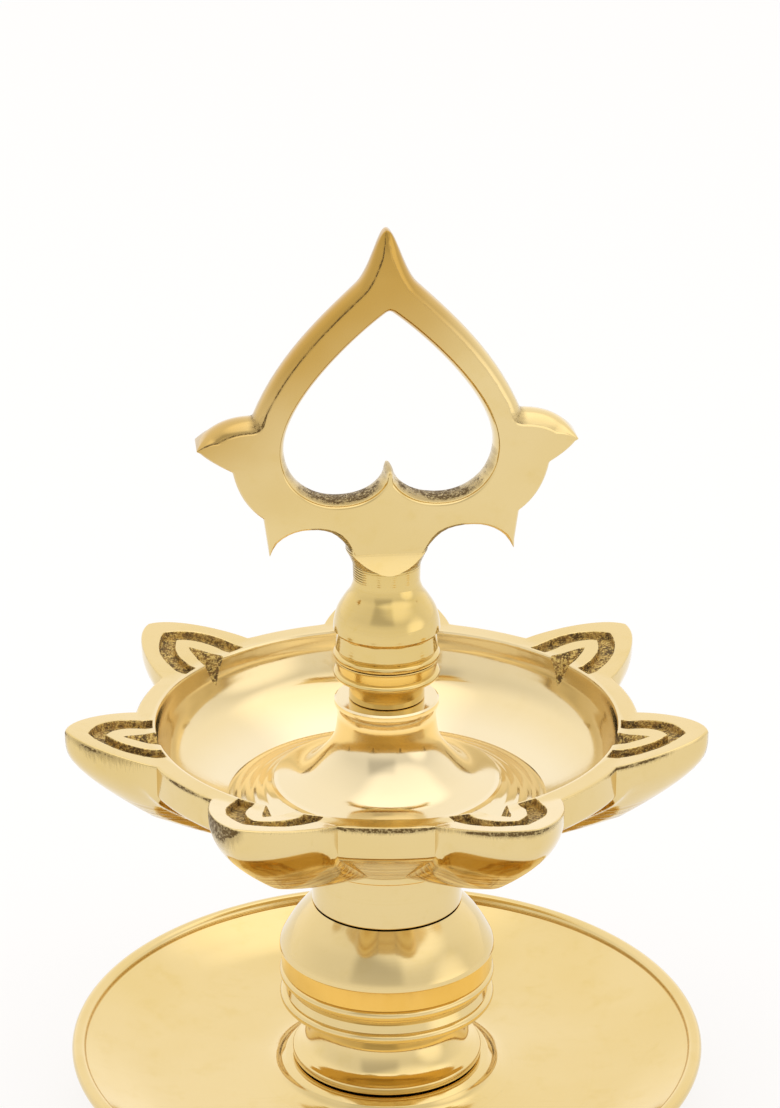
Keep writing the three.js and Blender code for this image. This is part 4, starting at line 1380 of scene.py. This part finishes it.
class LAMP_OT_dish(bpy.types.Operator):
    """Casts and turns the drip dish on its foot ring"""

    bl_idname = "lamp.dish"
    bl_label = "Build the Dish"

    def execute(self, context):
        size = context.scene.lamp_turned
        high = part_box("drip_dish")[1]
        radius, top = high.x, high.z
        bore = size.base_stud + size.clearance
        lip_radius = size.dish_lip / 2
        lip_bottom = top - size.dish_lip
        under = size.dish_floor - size.dish_wall
        foot_inner = size.foot_radius - size.foot_width
        lip = []
        for degrees in range(-40, 201, 15):
            turn = math.radians(degrees)
            lip.append((radius - lip_radius * (1 - math.cos(turn)), top - lip_radius * (1 - math.sin(turn))))
        outside = flowing([
            *beside(size.foot_radius, under, (-1.2, -0.4)), (radius * 0.76, under + 1.2 * MM),
            (radius * 0.87, lip_bottom - 5.6 * MM), (radius * 0.95, lip_bottom - 1.6 * MM), lip[0],
        ], 9)
        inside = flowing([
            lip[-1], (radius * 0.88, lip_bottom - 1.8 * MM), (radius * 0.77, size.dish_floor + 1.4 * MM),
            (radius * 0.64, size.dish_floor), (radius * 0.44, size.dish_floor),
            *beside(size.dish_seat, size.dish_floor, (3, 1.2)),
            *beside(size.dish_seat, size.dish_seat_height, (1.2, -0.9)),
        ], 9)
        bm = turned([
            (bore, size.underside, CORNER), (size.dish_seat - 4 * MM, size.underside, BLUNT),
            (size.dish_seat, size.underside - 2 * MM, BLUNT), (size.dish_seat + 6 * MM, under, MM),
            (foot_inner - MM, under, BLUNT), (foot_inner, 0, WORN), (size.foot_radius, 0, WORN),
            (size.foot_radius - 1.6 * MM, (under - 0.4 * MM) / 2, MM), *outside[:-1], *lip, *inside[1:],
            (size.dish_seat, size.dish_seat_height, SOFT), (bore, size.dish_seat_height, CORNER),
        ], steps=224, closed=True)
        finishes = [polished_brass("dish_brass", gloss=0.1, feed=0.003, waviness=0.03, pitting=0.5)]
        finished("turned_dish", bm, "base", finishes, ["drip_dish"])
        return {"FINISHED"}


class LAMP_OT_fastening(bpy.types.Operator):
    """Makes the threaded studs, and the washer and nut under the dish"""

    bl_idname = "lamp.fastening"
    bl_label = "Build the Studs and the Nut"

    def execute(self, context):
        size = context.scene.lamp_turned
        colours = context.scene.lamp_colours
        steel = [threaded_metal("zinc_plate", colours.zinc, gloss=0.3)]
        brass = [threaded_metal("stud_metal", colours.warm, gloss=0.28)]
        studs = (
            ("stud_in_loop", "loop_stud", "loop", size.loop_stud, size.loop_pitch, "stud_brass", brass),
            ("stud_under_bowl", "bowl_stud", "bowl", size.bowl_stud, size.bowl_pitch, "stud_brass", brass),
            ("stud_in_dish", "base_stud", "base", size.base_stud, size.base_pitch, "zinc_steel", steel),
        )
        for name, node, body, radius, pitch, slot, finishes in studs:
            low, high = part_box(node)
            bm = threaded_rod(radius, pitch, size.thread_depth, low.z, high.z)
            finished(name, bm, body, finishes, [node])
        bore = size.base_stud + size.clearance
        low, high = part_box("base_washer")
        washer = turned([
            (bore, low.z, 0.1 * MM), (size.washer, low.z, SOFT), (size.washer, high.z, CRISP),
            (bore, high.z, CRISP),
        ], steps=96, closed=True)
        finished("flat_washer", washer, "base", steel, ["base_washer"])
        low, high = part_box("base_nut")
        corner = size.nut_flats / math.sqrt(3)
        flat = size.nut_flats / 2
        chamfer = (corner - flat) * 0.6
        mouth = 0.5 * MM
        blank = turned([
            (bore + mouth, low.z), (flat, low.z), (corner, low.z + chamfer), (corner, high.z - chamfer),
            (flat, high.z), (bore + mouth, high.z), (bore, high.z - mouth), (bore, low.z + mouth),
        ], steps=96, closed=True)
        hexagon = bmesh.new()
        bmesh.ops.create_cone(hexagon, cap_ends=True, segments=6, radius1=corner, radius2=corner,
                              depth=20 * MM)
        swing(hexagon, math.pi / 6)
        lift(hexagon, (low.z + high.z) / 2)
        nut = combined(blank, hexagon, "INTERSECT")
        finished("hexagon_nut", nut, "base", steel, ["base_nut"], crease=20)
        return {"FINISHED"}


class LAMP_OT_stage(bpy.types.Operator):
    """Sets the floor, the soft lights and the camera"""

    bl_idname = "lamp.stage"
    bl_label = "Set the Stage"

    def floor(self, context):
        colours = context.scene.lamp_colours
        bm = bmesh.new()
        bmesh.ops.create_circle(bm, cap_ends=True, segments=64, radius=12)
        mesh = bpy.data.meshes.new("floor")
        bm.to_mesh(mesh)
        bm.free()
        ground = bpy.data.objects.new("floor", mesh)
        context.scene.collection.objects.link(ground)
        finish = Finish("floor_paint")
        path = finish.node("ShaderNodeLightPath", {}, {})
        kinds = ("Camera", "Glossy", "Transmission")
        rays = [Value(finish, path.outputs[f"Is {kind} Ray"]) for kind in kinds]
        seen = rays[0].most(rays[1]).most(rays[2])
        matt = finish.node("ShaderNodeBsdfDiffuse", {}, {"Color": opaque(colours.floor)})
        glow = finish.node("ShaderNodeEmission", {}, {"Color": (1.0, 0.985, 0.975, 1), "Strength": 0.99})
        both = finish.node("ShaderNodeMixShader", {}, {0: seen * 0.8, 1: matt.outputs[0], 2: glow.outputs[0]})
        finish.node("ShaderNodeOutputMaterial", {}, {"Surface": both.outputs[0]})
        mesh.materials.append(finish.material)

    def room(self, context):
        world = bpy.data.worlds.new("room")
        world.use_nodes = True
        stage = context.scene.lamp_stage
        sky = Nodes(world.node_tree)
        way = sky.node("ShaderNodeTexCoord", {}, {}).outputs["Generated"]
        parts = sky.node("ShaderNodeSeparateXYZ", {}, {0: way})
        right, behind, above = (Value(sky, parts.outputs[axis]) for axis in "XYZ")

        def window(axis, low, high):
            """A soft round patch about a direction."""
            return sky.step(right * axis[0] + behind * axis[1] + above * axis[2], low, high)

        def past(degrees):
            """Whether a direction lies to the right of an upright plane, turned from the front."""
            turn = math.radians(degrees)
            return sky.step(right * math.cos(turn) + behind * math.sin(turn), -0.09, 0.09)

        pane = past(-40) * (1.0 - past(18)) * sky.step(above, 0.2, 0.6) * (1.0 - sky.step(above, 0.72, 0.82))
        light = sky.step(above * 0.8 + behind * 0.6, 0.1, 0.8) * stage.sky + stage.room
        light = light + window((0.25, -0.2, 0.95), 0.7, 0.88) * stage.ceiling_window
        light = light + window((0.92, -0.37, 0.1), 0.88, 0.99) * stage.side_window - pane * stage.camera_side
        light = light + (1.0 - sky.step(above, 0.0, 0.45)) * stage.haze
        backdrop = sky.node("ShaderNodeBackground", {}, {"Color": (1.0, 0.975, 0.95, 1.0), "Strength": light})
        sky.node("ShaderNodeOutputWorld", {}, {"Surface": backdrop.outputs[0]})
        context.scene.world = world

    def lamp(self, context, name, power, size, place):
        light = bpy.data.lights.new(name, "AREA")
        light.shape = "RECTANGLE"
        light.size, light.size_y = size
        light.energy = power
        stand = bpy.data.objects.new(name, light)
        stand.visible_glossy = False
        stand.location = place
        aim = Vector((0, 0, 0.1)) - Vector(place)
        stand.rotation_euler = aim.to_track_quat("-Z", "Y").to_euler()
        context.scene.collection.objects.link(stand)

    def camera(self, context):
        stage = context.scene.lamp_stage
        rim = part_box("lamp_bowl")[0].z + context.scene.lamp_bowl.depth
        back = Vector((0, -math.cos(stage.elevation), math.sin(stage.elevation)))
        target = Vector((stage.aside, 0, rim + stage.above))
        data = bpy.data.cameras.new("camera")
        data.sensor_fit = "VERTICAL"
        data.sensor_height = data.sensor_width = 36
        data.lens = stage.focal
        data.dof.use_dof = False
        camera = bpy.data.objects.new("camera", data)
        camera.location = target + back * stage.distance
        camera.rotation_euler = (-back).to_track_quat("-Z", "Y").to_euler()
        context.scene.collection.objects.link(camera)
        context.scene.camera = camera

    def execute(self, context):
        stage = context.scene.lamp_stage
        context.scene.view_settings.view_transform = "Standard"
        self.floor(context)
        self.room(context)
        self.lamp(context, "left lamp", stage.left, (1.5, 1.5), (-1.1, -0.4, 1.6))
        self.lamp(context, "right lamp", stage.right, (0.9, 1.4), (1.3, -0.6, 1.3))
        self.camera(context)
        return {"FINISHED"}


class LAMP_PT_panel(bpy.types.Panel):
    """Lists the pieces of the lamp and their sizes"""

    bl_label = "Spouted Lamp"
    bl_idname = "LAMP_PT_panel"
    bl_space_type = "VIEW_3D"
    bl_region_type = "UI"
    bl_category = "Lamp"

    def draw(self, context):
        for operator in operators:
            self.layout.operator(operator.bl_idname)
        for name in groups:
            group = getattr(context.scene, name)
            box = self.layout.box()
            for key in group.bl_rna.properties.keys():
                if key not in ("rna_type", "name"):
                    box.prop(group, key)


operators = (
    LAMP_OT_stage, LAMP_OT_bowl, LAMP_OT_loop, LAMP_OT_collar, LAMP_OT_stem, LAMP_OT_dish, LAMP_OT_fastening,
)
groups = {
    "lamp_bowl": LampBowlSizes, "lamp_spouts": LampSpoutSizes, "lamp_loop": LampLoopSizes,
    "lamp_turned": LampTurnedSizes, "lamp_colours": LampFinishColours, "lamp_stage": LampStageSizes,
}


def register():
    for name, group in groups.items():
        bpy.utils.register_class(group)
        setattr(bpy.types.Scene, name, PointerProperty(type=group))
    for shown in (*operators, LAMP_PT_panel):
        bpy.utils.register_class(shown)


def unregister():
    for shown in (LAMP_PT_panel, *reversed(operators)):
        bpy.utils.unregister_class(shown)
    for name, group in groups.items():
        delattr(bpy.types.Scene, name)
        bpy.utils.unregister_class(group)


def main():
    register()
    bpy.ops.lamp.stage()
    bpy.ops.lamp.bowl()
    bpy.ops.lamp.loop()
    bpy.ops.lamp.collar()
    bpy.ops.lamp.stem()
    bpy.ops.lamp.dish()
    bpy.ops.lamp.fastening()


if __name__ == "__main__":
    main()
